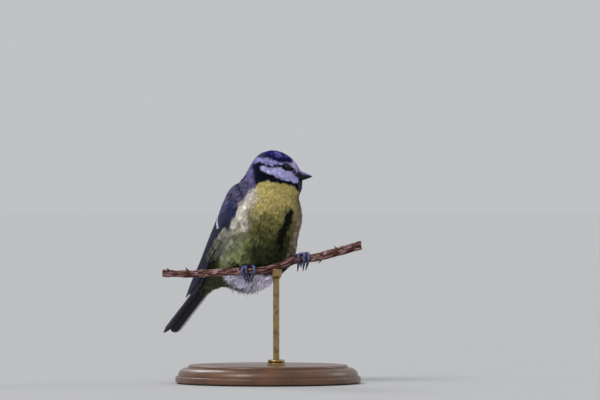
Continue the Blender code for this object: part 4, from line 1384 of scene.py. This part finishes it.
def coat_tree():
    """Geometry Nodes: a tuft on every point, turned and sized by the point, with its place on the bake map."""
    tree = bpy.data.node_groups.new("lay coat", "GeometryNodeTree")
    faces = tree.interface
    faces.new_socket("Roots", in_out="INPUT", socket_type="NodeSocketGeometry")
    faces.new_socket("Tufts", in_out="INPUT", socket_type="NodeSocketCollection")
    faces.new_socket("Patch size", in_out="INPUT", socket_type="NodeSocketFloat")
    faces.new_socket("Finish", in_out="INPUT", socket_type="NodeSocketMaterial")
    faces.new_socket("Coat", in_out="OUTPUT", socket_type="NodeSocketGeometry")
    nodes, links = tree.nodes, tree.links

    def add(kind, settings=None, feeds=None):
        made = nodes.new(kind)
        for name, value in (settings or {}).items():
            setattr(made, name, value)
        for socket, value in (feeds or {}).items():
            if isinstance(value, bpy.types.NodeSocket):
                links.new(value, made.inputs[socket])
            else:
                made.inputs[socket].default_value = value
        return made

    def stored(name, kind):
        found = add("GeometryNodeInputNamedAttribute", {"data_type": kind}, {"Name": name})
        return found.outputs["Attribute"]

    given = nodes.new("NodeGroupInput")
    tufts = add("GeometryNodeCollectionInfo", None,
                {"Collection": given.outputs["Tufts"], "Separate Children": True, "Reset Children": True})
    turn = add("FunctionNodeAxesToRotation", {"primary_axis": "Y", "secondary_axis": "Z"},
               {"Primary Axis": stored("lie", "FLOAT_VECTOR"), "Secondary Axis": stored("out", "FLOAT_VECTOR")})
    laid = add("GeometryNodeInstanceOnPoints", None,
               {"Points": given.outputs["Roots"], "Instance": tufts.outputs["Instances"], "Pick Instance": True,
                "Instance Index": stored("kind", "INT"), "Rotation": turn.outputs["Rotation"],
                "Scale": stored("size", "FLOAT_VECTOR")})
    real = add("GeometryNodeRealizeInstances", None, {"Geometry": laid.outputs["Instances"]})
    shrunk = add("ShaderNodeVectorMath", {"operation": "SCALE"},
                 {0: stored("patch", "FLOAT_VECTOR"), "Scale": given.outputs["Patch size"]})
    spot = add("ShaderNodeVectorMath", {"operation": "ADD"},
               {0: shrunk.outputs["Vector"], 1: stored("root", "FLOAT_VECTOR")})
    mapped = add("GeometryNodeStoreNamedAttribute", {"data_type": "FLOAT2", "domain": "CORNER"},
                 {"Geometry": real.outputs["Geometry"], "Name": "OFBake", "Value": spot.outputs["Vector"]})
    done = add("GeometryNodeSetMaterial", None,
               {"Geometry": mapped.outputs["Geometry"], "Material": given.outputs["Finish"]})
    out = nodes.new("NodeGroupOutput")
    links.new(done.outputs["Geometry"], out.inputs["Coat"])
    return tree


def over_tail(points):
    """Height over the tail's plane."""
    return (to_body(points) - TAIL_ROOT) @ (-math.sin(TAIL_DROP), 0, math.cos(TAIL_DROP))


def feather_length(points):
    from_bill = np.linalg.norm(points - BILL_BASE, axis=-1)
    up = to_body(points)[:, 2]
    length = 1.35 + 2.4 * ease(from_bill, 1.5, 15) + 2.4 * ease(from_bill, 16, 34)
    return length + 1.8 * (1 - ease(up, -8, 2))


def feather_spacing(points):
    return 0.138 * feather_length(points)


def feather_flow(points, tangents):
    """The direction that feathers point in: away from the bill, then down the body to the tail."""
    forward, _, up = to_head(points).T
    pull = ease(-0.8 * forward - 0.6 * up, -1, 7)
    return blend(unit(points - BILL_BASE), -tangents, pull)


def laid(roots, flow, normals, length, depth, tree, free=0.0):
    """Directions of tufts that follow a flow over a surface and end at a height above it.

    Where free is 1 a tuft runs straight on, as it must past the surface's end.
    """
    level = unit(flow - normals * (flow * normals).sum(1)[:, None])
    lie = level
    straight = unit(level * length[:, None] + normals * depth[:, None])
    for _ in range(2):
        near, out = nearest_on(tree, roots + lie * length[:, None])
        out = out * np.sign((out * normals).sum(1))[:, None]
        lie = unit(near + out * depth[:, None] - roots)
    return unit(blend(lie, straight, free))


WING_REACH = 2.8                # a wing this close outside a place covers it


def covered(points, normals):
    """Which places lie under a wing, looking straight out from them."""
    found = np.zeros(len(points), bool)
    for side in ("left", "right"):
        tree, _, _ = surface_tree(frame["nodes"][f"bird_wing_{side}"].data)
        found |= np.array([tree.ray_cast(place, normal, WING_REACH)[0] is not None
                           for place, normal in zip(points.tolist(), normals.tolist())])
    return found


def eye_distance(points):
    return np.min([np.linalg.norm(points - eye_middle(side), axis=1) for side in ("left", "right")], axis=0)


def beside_eye(points, margin):
    return eye_distance(points) < EYE_RADIUS + margin


def bare_place(points):
    """Places where no feather grows: round the eyes, under the bill and against the twig."""
    head = to_head(points)
    at_bill = (head[:, 0] > 11.6) & (np.hypot(head[:, 1], head[:, 2] - BILL_GAPE) < 1.9)
    return at_bill | beside_eye(points, 0.16) | (off_twig(points) < 0.8)


CAPE_REACH = 4.5                # how far beyond a wing's outline the shoulder feathers start
CAPE_ROWS = 24
CAPE_SPACING = 0.85
FLANK_LAP = (0.24, 0.47, -0.88)     # from and to along the wing, and how far in across it


def cape_roots(cape, sheet, seed):
    """Shoulder feathers: they run from the body over the top of a wing and along its inner edge."""
    chance = np.random.default_rng(seed)
    tree, points, triangles = cape
    rim = sheet.grid[:CAPE_ROWS].reshape(-1, 3)
    rim_tree = KDTree(len(rim))
    for number, place in enumerate(rim.tolist()):
        rim_tree.insert(place, number)
    rim_tree.balance()
    middles = points[triangles].mean(1)
    close = [rim_tree.find(middle)[2] < CAPE_REACH for middle in middles.tolist()]
    roots, normals = scattered(points, triangles[close], lambda at: np.full(len(at), CAPE_SPACING), 16000, seed)
    found = [rim_tree.find(root)[1:] for root in roots.tolist()]
    nearest, distance = np.array([number for number, _ in found]), np.array([far for _, far in found])
    row, column = np.divmod(nearest, SHEET_COLUMNS)
    along = row / (SHEET_ROWS - 1)
    across = -1 + column / (SHEET_COLUMNS - 1) * (WING_INNER + 1)
    facing = (normals * sheet.normals[row, column]).sum(1)
    over_top = (along < 0.09 + 0.11 * ease(across, -0.9, 0.5)) & ((column > 0) | (distance < 0.8))
    beside = (column == SHEET_COLUMNS - 1) & (distance > 0.5)
    # flank feathers lap over the leading edge of the folded wing
    on_flank = (along > FLANK_LAP[0]) & (along < FLANK_LAP[1]) & (across < FLANK_LAP[2]) & (distance < 3.5)
    keep = (facing > 0.1) & (over_top | beside | on_flank)
    roots, normals, distance, across = roots[keep], normals[keep], distance[keep], across[keep]
    row, column, bodily = row[keep], column[keep], (on_flank | (beside & ~over_top))[keep]
    count = len(roots)
    down_wing = unit(sheet.grid[row + 1, column] - sheet.grid[row, column])
    down_body = feather_flow(roots, round_spine(roots)[2])
    flow = unit(blend(down_wing, down_body, np.maximum(ease(distance, 1.0, 4.0), bodily)))
    length = chance.uniform(4.6, 6.6, count)
    roots = roots - normals * 0.7
    lie = laid(roots, flow, normals, length, chance.uniform(0.3, 0.65, count), tree)
    tint = blend(SCAPULAR_BLUE, MANTLE_GREY, ease(across, -0.6, 0.2))
    tint = blend(tint, markings(roots + lie * 3.0), np.maximum(ease(distance, 0.8, 3.0), bodily))
    return roots, lie, normals, length, bodily.astype(int), tint


def coat_roots(skin, sheets):
    """Every tuft of the coat: where it grows, how it lies, its size, kind, colour and place on the map."""
    tree, points, triangles = surface_tree(skin)
    roots, normals = scattered(points, triangles, feather_spacing, 300000, 7)
    share, angle, tangents = round_spine(roots)
    end_cap = (share < 0.1) & ((normals * tangents).sum(1) < -0.5)
    grown = ~(bare_place(roots) | end_cap)
    roots, normals, share, angle, tangents = (found[grown] for found in (roots, normals, share, angle, tangents))
    chance = np.random.default_rng(8)
    count = len(roots)
    length = feather_length(roots) * chance.uniform(0.82, 1.15, count)
    length = length * (0.62 + 0.38 * ease(eye_distance(roots), 2.2, 4.6)) * (0.7 + 0.3 * ease(share, 0.04, 0.16))
    flow = unit(feather_flow(roots, tangents))
    yaw = (chance.normal(0, 0.14, count) * (1 - 0.6 * np.maximum(ease(share, 0.74, 0.8), 1 - ease(share, 0.16, 0.3))))[:, None]
    flow = flow * np.cos(yaw) + np.cross(normals, flow) * np.sin(yaw)
    up = to_body(roots)[:, 2]
    under = 1 - ease(np.abs(angle), 1.1, 1.6)
    hanging = (1 - ease(up, -4, 0)) * ease(share, 0.28, 0.36) * under
    vent = (1 - ease(share, 0.26, 0.34)) * ease(share, 0.08, 0.2) * under
    past_end = 1 - ease(share, 0.05, 0.16)
    depth = coat_depth(roots) * chance.uniform(0.9, 1.45, count)
    depth = depth * (1 + 1.1 * hanging * chance.random(count)) + 0.6 * vent
    depth = depth * (1 - 0.75 * past_end)
    lie = laid(roots, flow, normals, length, depth, tree, past_end)
    tips, tip_normals = nearest_on(tree, roots + lie * length[:, None])
    through_tail = (over_tail(roots) < 0) & (over_tail(roots + lie * length[:, None]) > -0.4) & (share < 0.2)
    seen = ~(covered(roots, normals) & covered(tips, tip_normals)) & ~through_tail
    sleek = ((share > 0.76) | (share < 0.28) | (np.abs(angle) > 1.75)) & (hanging < 0.3)
    kind = np.where(hanging > 0.3, 2, np.where(sleek, 0, 1))
    places = roots + lie * (length * 0.62)[:, None]
    tint = markings(places)
    on_body = 1 - ease(share, 0.74, 0.8)
    pale = 0.7 * chance.random(count) ** 2 * on_body * (np.abs(angle) < 1.5)
    drawn = mottle(places * (1.0, 1.0, 0.3), 1.0, 33)
    tint = tint * (0.9 + pale + on_body * 0.3 * drawn + 0.3 * hanging * chance.normal(size=count))[:, None].clip(0.4, 2)
    parts = [tuple(values[seen] for values in (roots - normals * 0.1, lie, normals, length, kind, tint))]
    cape = surface_tree(make_cape())
    for number, sheet in enumerate(sheets.values()):
        parts.append(cape_roots(cape, sheet, 90 + number))
    roots, lie, normals, length, kind, tint = (np.concatenate(values) for values in zip(*parts))
    count = len(roots)
    # a tuft stops short of the twig and the eyes
    for shorter in (0.85, 0.7, 0.55, 0.4):
        tips, middles = (roots + lie * (length * part)[:, None] for part in (1.0, 0.6))
        close = (off_twig(tips) < 0.25) | (off_twig(middles) < 0.15) | beside_eye(tips, 0.02)
        length = np.where(close, length * shorter, length)
    out = unit(np.cross(np.cross(lie, normals), lie))
    tint = tint * chance.normal(1, 0.14, count).clip(0.65, 1.35)[:, None]
    share, angle, _ = round_spine(roots)
    size = np.column_stack([length, length, length]) * MM
    kind = kind * TUFT_VARIANTS + chance.integers(0, TUFT_VARIANTS, count)
    return {"place": roots, "lie": lie, "out": out, "size": size, "kind": kind, "tint": tint, "share": share,
            "angle": angle}


def make_coat(skin, sheets, finish):
    """The coat in pieces of like size, cut along the spine and down its middle."""
    roots = coat_roots(skin, sheets)
    tufts, tree = tuft_collection(), coat_tree()
    sockets = {item.name: item.identifier for item in tree.interface.items_tree if item.in_out == "INPUT"}
    cuts = np.quantile(roots["share"], np.linspace(0, 1, COAT_PIECES // 2 + 1))
    slots = ["plumage_green"] * 2 + ["plumage_yellow"] * 4 + ["plumage_blue"] * 2
    for band in range(COAT_PIECES // 2):
        for side, on_side in (("left", roots["angle"] >= 0), ("right", roots["angle"] < 0)):
            last = band == COAT_PIECES // 2 - 1
            inside = (roots["share"] >= cuts[band]) & ((roots["share"] < cuts[band + 1]) | last) & on_side
            part = {name: values[inside] for name, values in roots.items()}
            unwrap = np.column_stack([np.abs(part["angle"]), part["share"]])
            low, high = unwrap.min(0), unwrap.max(0)
            unwrap = 0.02 + 0.96 * (unwrap - low) / (high - low)
            cloud = mesh_of(f"roots_{band}_{side}", part["place"], [])
            for name in ("lie", "out", "size"):
                store(cloud, name, part[name], "FLOAT_VECTOR")
            store(cloud, "kind", part["kind"], "INT")
            store(cloud, "tint", part["tint"], "FLOAT_COLOR")
            store(cloud, "root", np.column_stack([unwrap, np.zeros(len(unwrap))]), "FLOAT_VECTOR")
            thing = working(f"coat_{band}_{side}", cloud)
            lay = thing.modifiers.new("lay coat", "NODES")
            lay.node_group = tree
            lay[sockets["Tufts"]] = tufts
            lay[sockets["Patch size"]] = PATCH_SIZE
            lay[sockets["Finish"]] = finish
            mesh = settled(thing)
            for name in ("lie", "out", "size", "kind", "root", "patch"):
                if name in mesh.attributes:
                    mesh.attributes.remove(mesh.attributes[name])
            shown(f"coat_{band}_{side}", mesh, None, slots[band])
    for thing in list(tufts.objects):
        bpy.data.objects.remove(thing)
    bpy.data.collections.remove(tufts)


# Feet and claws

FOOT_PLACES = {"right": -10.0, "left": 16.6}
# for each foot: x of the front toes, of their claws' tips, and of the hind toe
FEET = {"right": ((-12.4, -10.6, -6.7), (-10.3, -9.2, -8.3), -8.8),
        "left": ((14.9, 17.6, 19.6), (14.4, 17.0, 18.4), 16.0)}
TARSUS_ENDS = {"right": (-10.6, -0.4, 5.6), "left": (9.4, 4.6, 5.7)}
TOE_RADIUS, TARSUS_RADIUS, TOE_SPACING, FRONT_TOE_STRAIGHT = 0.72, 0.75, 0.45, 2.6
CLAW_LENGTH, HIND_CLAW_LENGTH, CLAW_RADIUS, CLAW_BEND = 3.6, 2.9, 0.55, math.radians(45)
TOE_GRAIN = 0.1


def around_twig(x, angle, distance):
    """A place round the twig at an angle from its top towards the front, off its middle line."""
    return twig_centre(x) + np.array([0, -distance * math.sin(angle), distance * math.cos(angle)])


def toe_path(start_x, front_x, end_x, first_angle, last_angle, straight):
    """From the foot's joint over the twig to last_angle, then straight on."""
    path = []
    for share in np.linspace(0, 1, 8):
        x = start_x + (front_x - start_x) * min(1.0, share * 1.8) ** 0.8
        off = float(twig_radius(x)) + TOE_RADIUS + 0.12
        path.append(around_twig(x, first_angle + (last_angle - first_angle) * share, off))
    onward = unit(path[-1] - path[-2])
    end = path[-1] + onward * straight
    end[0] = end_x
    path.append((path[-1] + end) / 2)
    path.append(end)
    return np.array(path)


def scaled_tube(shapes, routes, path, radius, taper, scale_length, knuckles=()):
    """A round limb with swollen knuckles and closed ends; routes gathers its line and where its scutes meet."""
    line = smooth_curve(path, 90)
    run = np.concatenate([[0], np.cumsum(np.linalg.norm(np.diff(line, axis=0), axis=1))])
    share = run / run[-1]
    saw = (run / scale_length) % 1.0
    body = radius * (1 + (taper - 1) * share)
    for knuckle in knuckles:
        body = body * (1 + 0.16 * np.exp(-(((share - knuckle) / 0.06) ** 2)))
    ends = np.sqrt(np.clip(1 - ((0.03 - np.minimum(share, 1 - share)) / 0.03).clip(0, 1) ** 2, 0.04, 1))
    around = 20
    angles = np.linspace(0, 2 * math.pi, around, endpoint=False)
    rings = body[:, None] * ends[:, None] * (1 + 0.12 * (saw[:, None] - 0.5) * (0.6 + 0.4 * np.cos(angles)))
    shapes.add(tube_points(line, rings, around), ring_faces(len(line), around))
    fine = smooth_curve(line, 270)
    routes.append(np.column_stack([fine, (np.linspace(0, run[-1], 270) / scale_length) % 1.0]))


def make_foot(side, leg, horn):
    fronts, tips, back_x = FEET[side]
    joint_x = FOOT_PLACES[side]
    behind = np.array([0, 1.0, 0])
    shapes, routes, claws = Shapes(), [], []
    for number, (front_x, tip_x) in enumerate(zip(fronts, tips)):
        start_x = joint_x + TOE_SPACING * (number - 1)
        path = toe_path(start_x, front_x, front_x + (tip_x - front_x) * 0.6, math.radians(-26 - 5 * number),
                        math.radians(105), FRONT_TOE_STRAIGHT)
        scaled_tube(shapes, routes, path, TOE_RADIUS * 1.12, 0.78, 0.62, (0.36, 0.68))
        claws.append((path, behind, CLAW_LENGTH))
    middle_joint = claws[1][0][0]
    path = toe_path(joint_x + 0.13, back_x, back_x, math.radians(-9), math.radians(-140), 0.5)
    scaled_tube(shapes, routes, path, TOE_RADIUS * 1.15, 0.82, 0.62, (0.5,))
    claws.append((path, -behind, HIND_CLAW_LENGTH))
    end = np.array(TARSUS_ENDS[side]) + (0, 0, PERCH_HEIGHT)
    start = middle_joint + (0, 0, 0.12)
    tarsus = start + (end - start) * np.linspace(0, 1, 5)[:, None]
    scaled_tube(shapes, routes, tarsus, TARSUS_RADIUS * 1.2, 0.85, 0.9, (0.02,))
    thing = working(f"leg_{side}", outward(shapes.mesh(f"leg_{side}")))
    remesh = thing.modifiers.new("remesh", "REMESH")
    remesh.mode = "VOXEL"
    remesh.voxel_size = TOE_GRAIN * MM
    smooth = thing.modifiers.new("smooth", "SMOOTH")
    smooth.factor = 0.4
    smooth.iterations = 2
    mesh = settled(thing)
    mesh.shade_smooth()
    points, normals = points_of(mesh), normals_of(mesh)
    routes = np.vstack(routes)
    tree = KDTree(len(routes))
    for number, place in enumerate(routes[:, :3].tolist()):
        tree.insert(place, number)
    tree.balance()
    saw = routes[[tree.find(point)[1] for point in points.tolist()], 3]
    crease = np.exp(-((np.minimum(saw, 1 - saw) / 0.13) ** 2))
    # skin that faces up is painted paler as a painted highlight; the creases between scutes are darker
    scute = 0.55 + 0.35 * np.clip(normals[:, 2], -0.5, 1) + 0.2 * mottle(points, 1.2, 61) - 0.5 * crease
    store(mesh, "scute", scute.clip(0, 1))
    shown(f"leg_{side}", mesh, leg, "leg_skin", f"bird_leg_{side}")
    for number, (toe, inward, length) in enumerate(claws, start=1):
        onward = unit(toe[-1] - toe[-2])
        shares = np.linspace(0, 1, 24)[:, None]
        turn = shares * CLAW_BEND
        line = toe[-1] - onward * 0.25 + (length + 0.5) * shares * (onward * np.cos(turn) + inward * np.sin(turn))
        radii = CLAW_RADIUS * (1 - 0.88 * shares[:, 0] ** 0.9)
        mesh = outward(mesh_of(f"claw_{side}_{number}", tube_points(line, radii, 14).reshape(-1, 3), ring_faces(24, 14)))
        shown(f"claw_{side}_{number}", mesh, horn, "bill_horn", f"bird_claw_{side}_{number}")


# Twig

STUBS = [(-47.5, 40), (-44.0, -70), (-38.5, 20), (-31.0, 110), (-20.5, 60), (9.5, -120), (26.0, 150), (33.5, 30),
         (40.0, 100)]
TWIG_STATIONS, TWIG_AROUND = 420, 56


def make_twig(bark, cut):
    """Bark in long furrowed ridges, with thorn-like stubs and two sawn ends."""
    x = np.linspace(TWIG_START, TWIG_END, TWIG_STATIONS)
    angles = np.linspace(0, 2 * math.pi, TWIG_AROUND, endpoint=False)
    around = np.stack(np.broadcast_arrays(x[:, None] * 0.16, 1.7 * np.cos(angles), 1.7 * np.sin(angles)), axis=-1)
    ridge = mottle(around.reshape(-1, 3), 0.55, 71).reshape(TWIG_STATIONS, TWIG_AROUND)
    lump = mottle(around.reshape(-1, 3), 2.0, 72).reshape(TWIG_STATIONS, TWIG_AROUND)
    ridge = np.sign(ridge) * np.abs(ridge) ** 0.7
    radii = twig_radius(x)[:, None] + 0.13 * ridge + 0.12 * lump
    rings = tube_points(twig_centre(x), radii, TWIG_AROUND)
    shapes = Shapes()
    faces = ring_faces(TWIG_STATIONS, TWIG_AROUND)
    shapes.add(rings, faces, ridge=(0.5 + 0.5 * ridge).ravel())
    chance = np.random.default_rng(73)
    for place, degrees in STUBS:
        angle, radius = math.radians(degrees), float(twig_radius(place))
        shares = np.linspace(0, 1, 10)
        line = np.array([around_twig(place - 1.5 * share**1.5, angle, radius - 0.7 + 2.4 * share) for share in shares])
        stub = 0.85 * (1 - 0.86 * shares**0.7)[:, None] * (1 + 0.12 * chance.normal(size=(10, 12)))
        shapes.add(tube_points(line, stub, 12), ring_faces(10, 12), ridge=chance.uniform(0.2, 0.9, 120))
    shown("twig", outward(shapes.mesh("twig")), bark, "bark", "perch_twig")
    for name, place, way in (("start", TWIG_START, -1), ("end", TWIG_END, 1)):
        radius = float(twig_radius(place)) - 0.1
        reach = np.array([1.0, 0.97, 0.8, 0.6, 0.4, 0.2, 0.08])
        turns = np.linspace(0, 2 * math.pi, 48, endpoint=False)
        centre = twig_centre(place) + np.array([0.12 * way, 0, 0])
        saw = 0.04 * mottle(np.column_stack([turns * 0, 3 * np.cos(turns), 3 * np.sin(turns)]), 0.7, 74)
        disc = np.array([[centre + (way * (0.06 * (1 - share) + saw[k] * share), share * radius * math.cos(t),
                                    share * radius * math.sin(t)) for k, t in enumerate(turns)] for share in reach])
        hidden = disc[0] - np.array([0.5 * way, 0, 0])
        rings = np.vstack([hidden[None], disc])
        mesh = outward(mesh_of(f"twig_{name}", rings.reshape(-1, 3), ring_faces(len(rings), 48)))
        store(mesh, "reach", np.repeat(np.concatenate([[1.0], reach]), 48))
        shown(f"twig_{name}", mesh, cut, "bark", "perch_twig")


FLAKE_COUNT = 150
FLAKE_ROWS, FLAKE_COLUMNS = 9, 4


def flake_points(seed):
    """A strip of bark one unit long that peels up at one end, with ragged sides."""
    chance = np.random.default_rng(seed)
    rows = FLAKE_ROWS
    q = np.linspace(0, 1, rows)[:, None]
    spread = np.linspace(-1, 1, FLAKE_COLUMNS)[None]
    width = 0.11 * np.sin(np.clip(q * 1.1 + 0.12, 0, 1) * math.pi) ** 0.6 * (1 + 0.25 * chance.normal(size=(rows, 1)))
    lift = 0.10 * q**3 * chance.uniform(0.4, 1.6) + 0.03 * np.sin(q * 9 + seed)
    top = np.stack(np.broadcast_arrays(spread * width, q - 0.5, lift + 0.025 * (1 - spread**2)), axis=-1)
    return np.vstack([top.reshape(-1, 3), (top - (0, 0, 0.022)).reshape(-1, 3)])


def make_flakes(finish):
    """Peeling strips along the twig, most of them on its upper side, clear of the toes."""
    chance = np.random.default_rng(81)
    shapes = Shapes()
    strips = [flake_points(seed) for seed in range(4)]
    faces = sheet_faces(FLAKE_ROWS, FLAKE_COLUMNS)
    for _ in range(FLAKE_COUNT):
        x = chance.uniform(TWIG_START + 2, TWIG_END - 2)
        near_foot = min(abs(x - foot) for foot in FOOT_PLACES.values())
        angle = chance.normal(0, 1.1)
        length = chance.uniform(2.2, 6.0)
        if near_foot < 4.5:
            continue
        local = strips[chance.integers(0, 4)] * (length * 0.8, length, length * 0.55)
        way = chance.choice((-1, 1))
        along = x + way * local[:, 1] + chance.normal(0, 0.03) * local[:, 0]
        turn = angle + local[:, 0] / 1.8
        off = twig_radius(along) + 0.06 + local[:, 2]
        centre = twig_centre(along)
        placed = centre + np.column_stack([np.zeros(len(along)), -off * np.sin(turn), off * np.cos(turn)])
        shapes.add(placed, faces)
    shown("twig_flakes", outward(shapes.mesh("twig_flakes")), finish, "bark", "perch_twig")


# Stand

BASE_RADIUS, BASE_THICKNESS = 45.0, 9.0
ROD_X, ROD_RADIUS = 4.0, 1.5
CUP_RADIUS, CUP_DEPTH = 2.6, 4.0
COLLAR_RADIUS, COLLAR_HEIGHT = 4.4, 2.6


def turned_mesh(name, profile, centre, around):
    """A closed solid of revolution about a vertical axis, from (radius, height) pairs, bottom first."""
    angles = np.linspace(0, 2 * math.pi, around, endpoint=False)
    profile = np.array(profile)
    x = centre[0] + profile[:, :1] * np.cos(angles)
    y = centre[1] + profile[:, :1] * np.sin(angles)
    z = np.broadcast_to(profile[:, 1:], x.shape)
    mesh = outward(mesh_of(name, np.stack([x, y, z], axis=-1).reshape(-1, 3), ring_faces(len(profile), around)))
    mesh.set_sharp_from_angle(angle=math.radians(38))
    return mesh


def arc(centre, radius, first, last, count=10):
    """Places on an arc in a profile, between two angles in degrees."""
    angles = np.radians(np.linspace(first, last, count))
    return [(centre[0] + radius * math.cos(a), centre[1] + radius * math.sin(a)) for a in angles]


def make_stand(wood, felt, brass):
    felt_top = 0.6
    profile = [(BASE_RADIUS - 1.0, felt_top)]
    profile += arc((BASE_RADIUS - 0.5, felt_top + 0.5), 0.5, -90, 0, 5)
    profile += arc((BASE_RADIUS - 0.6, 2.9), 0.6, 0, 90, 6)
    profile += [(BASE_RADIUS - 1.2, 3.5)]
    # a hollow moulding up to the step under the flat top
    profile += [(BASE_RADIUS - 1.2 - 4.2 * (1 - math.cos(a)), 3.5 + 4.1 * math.sin(a))
                for a in np.linspace(0.05, math.pi / 2, 14)]
    profile += [(BASE_RADIUS - 6.0, 7.7)]
    profile += arc((BASE_RADIUS - 7.1, 8.1), 0.9, -10, 90, 8)
    profile += [(BASE_RADIUS - 12.0, BASE_THICKNESS), (12.0, BASE_THICKNESS), (0.5, BASE_THICKNESS)]
    shown("base", turned_mesh("base", profile, (0, 0), 160), wood, "base_wood", "stand_base")
    pad = [(BASE_RADIUS - 1.6, 0.0), (BASE_RADIUS - 1.3, 0.2), (BASE_RADIUS - 1.3, felt_top)]
    shown("base_pad", turned_mesh("base_pad", pad, (0, 0), 160), felt, "base_wood", "stand_base")

    *centre, twig_middle = twig_centre(ROD_X)
    low = BASE_THICKNESS
    collar = [(COLLAR_RADIUS, low), (COLLAR_RADIUS, low + 0.5)]
    collar += arc((COLLAR_RADIUS - 0.35, low + 0.85), 0.35, -30, 90, 6)
    collar += [(COLLAR_RADIUS - 0.9, low + 1.2)]
    collar += arc((COLLAR_RADIUS - 1.0, low + 2.0), 0.75, -40, 80, 8)
    collar += [(ROD_RADIUS + 0.5, low + 2.8), (ROD_RADIUS + 0.1, low + COLLAR_HEIGHT + 0.3)]
    shown("collar", turned_mesh("collar", collar, centre, 72), brass, "brass", "stand_collar")
    twig_bottom = twig_middle - float(twig_radius(ROD_X))
    cup_bottom = twig_bottom - CUP_DEPTH
    rod = [(ROD_RADIUS, low + 1.0), (ROD_RADIUS, cup_bottom + 0.4)]
    shown("rod", turned_mesh("rod", rod, centre, 48), brass, "brass", "stand_rod")
    cup = [(ROD_RADIUS + 0.1, cup_bottom - 0.1), (ROD_RADIUS + 0.35, cup_bottom + 0.1), (CUP_RADIUS - 0.4, cup_bottom + 0.9)]
    cup += arc((CUP_RADIUS - 0.3, cup_bottom + 1.5), 0.3, -60, 0, 5)
    cup += [(CUP_RADIUS, twig_bottom - 0.2)]
    cup += arc((CUP_RADIUS - 0.15, twig_bottom + 0.65), 0.15, 0, 90, 5)
    cup += [(CUP_RADIUS - 0.6, twig_bottom + 0.8)]
    holder = working("cup", turned_mesh("cup", cup, centre, 72))
    x = np.linspace(ROD_X - 9, ROD_X + 9, 30)
    bed_mesh = mesh_of("bed", tube_points(twig_centre(x), twig_radius(x) + 0.05, 40).reshape(-1, 3), ring_faces(30, 40))
    bed = working("bed", outward(bed_mesh))
    cut = holder.modifiers.new("bed", "BOOLEAN")
    cut.operation = "DIFFERENCE"
    cut.solver = "EXACT"
    cut.object = bed
    mesh = settled(holder)
    bpy.data.objects.remove(bed)
    shown("cup", mesh, brass, "brass", "stand_cup")


# Scene

def make_floor():
    mesh = bpy.data.meshes.new("floor")
    size = 30.0
    mesh.from_pydata([(-size, -size, 0), (size, -size, 0), (size, size, 0), (-size, size, 0)], [], [(0, 1, 2, 3)])
    mesh.materials.append(floor_finish())
    floor = bpy.data.objects.new("floor", mesh)
    bpy.context.scene.collection.objects.link(floor)


def make_lamp(name, place, power, soft, colour):
    """A broad soft light from a direction, in watts on each square metre."""
    data = bpy.data.lights.new(name, "SUN")
    data.energy = power
    data.angle = math.radians(soft)
    data.color = colour
    lamp = bpy.data.objects.new(name, data)
    lamp.rotation_euler = Vector(place).to_track_quat("Z", "Y").to_euler()
    bpy.context.scene.collection.objects.link(lamp)


def make_studio():
    scene = bpy.context.scene
    scene.view_settings.view_transform = "Standard"
    world = bpy.data.worlds.new("studio")
    world.use_nodes = True
    background = world.node_tree.nodes["Background"]
    background.inputs["Color"].default_value = (*paint(222, 224, 228), 1.0)
    background.inputs["Strength"].default_value = 0.72
    scene.world = world
    make_lamp("key", (-0.55, -0.55, 0.8), 1.5, 24.0, (1.0, 0.98, 0.95))
    make_lamp("rim", (-0.35, 0.75, 0.7), 0.7, 18.0, (0.94, 0.96, 1.0))
    make_lamp("far rim", (0.8, 0.35, 0.5), 0.4, 18.0, (1.0, 0.98, 0.96))
    lens = bpy.data.cameras.new("camera")
    lens.lens = CAMERA_LENS
    lens.sensor_width = 36.0
    lens.clip_start, lens.clip_end = 0.1, 100.0
    camera = bpy.data.objects.new("camera", lens)
    camera.location = CAMERA_PLACE
    camera.rotation_euler = (math.radians(90), 0, 0)
    scene.collection.objects.link(camera)
    scene.camera = camera


def main():
    make_studio()
    make_floor()
    coat, vanes, shaft = coat_finish(), vane_finish(), shaft_finish()
    skin = make_skin()
    sheets = {side: wing_feathers(side, vanes, shaft) for side in ("left", "right")}
    make_tail(vanes, shaft)
    make_coat(skin, sheets, coat)
    shown("skin", skin, skin_finish(), "plumage_yellow", *FLESH)

    eye, lid = eye_finish(), lid_finish()
    leg, horn = leg_finish(), claw_finish()
    for side in ("left", "right"):
        make_eye(side, eye)
        make_lids(side, lid)
        make_foot(side, leg, horn)
    # the upper bill's lavender top is a painted reflection
    upper = bill_finish("upper bill", paint(120, 113, 162), paint(26, 24, 40))
    lower = bill_finish("lower bill", paint(20, 19, 30), paint(5, 5, 10))
    make_mandible("bill_upper", 1, 1.0, upper, "bird_bill_upper")
    make_mandible("bill_lower", -1, 0.94, lower, "bird_bill_lower")
    make_bristles(horn)

    make_twig(bark_finish(), cut_wood_finish())
    make_flakes(flake_finish())
    make_stand(base_wood_finish(), felt_finish(), brass_finish())


main()
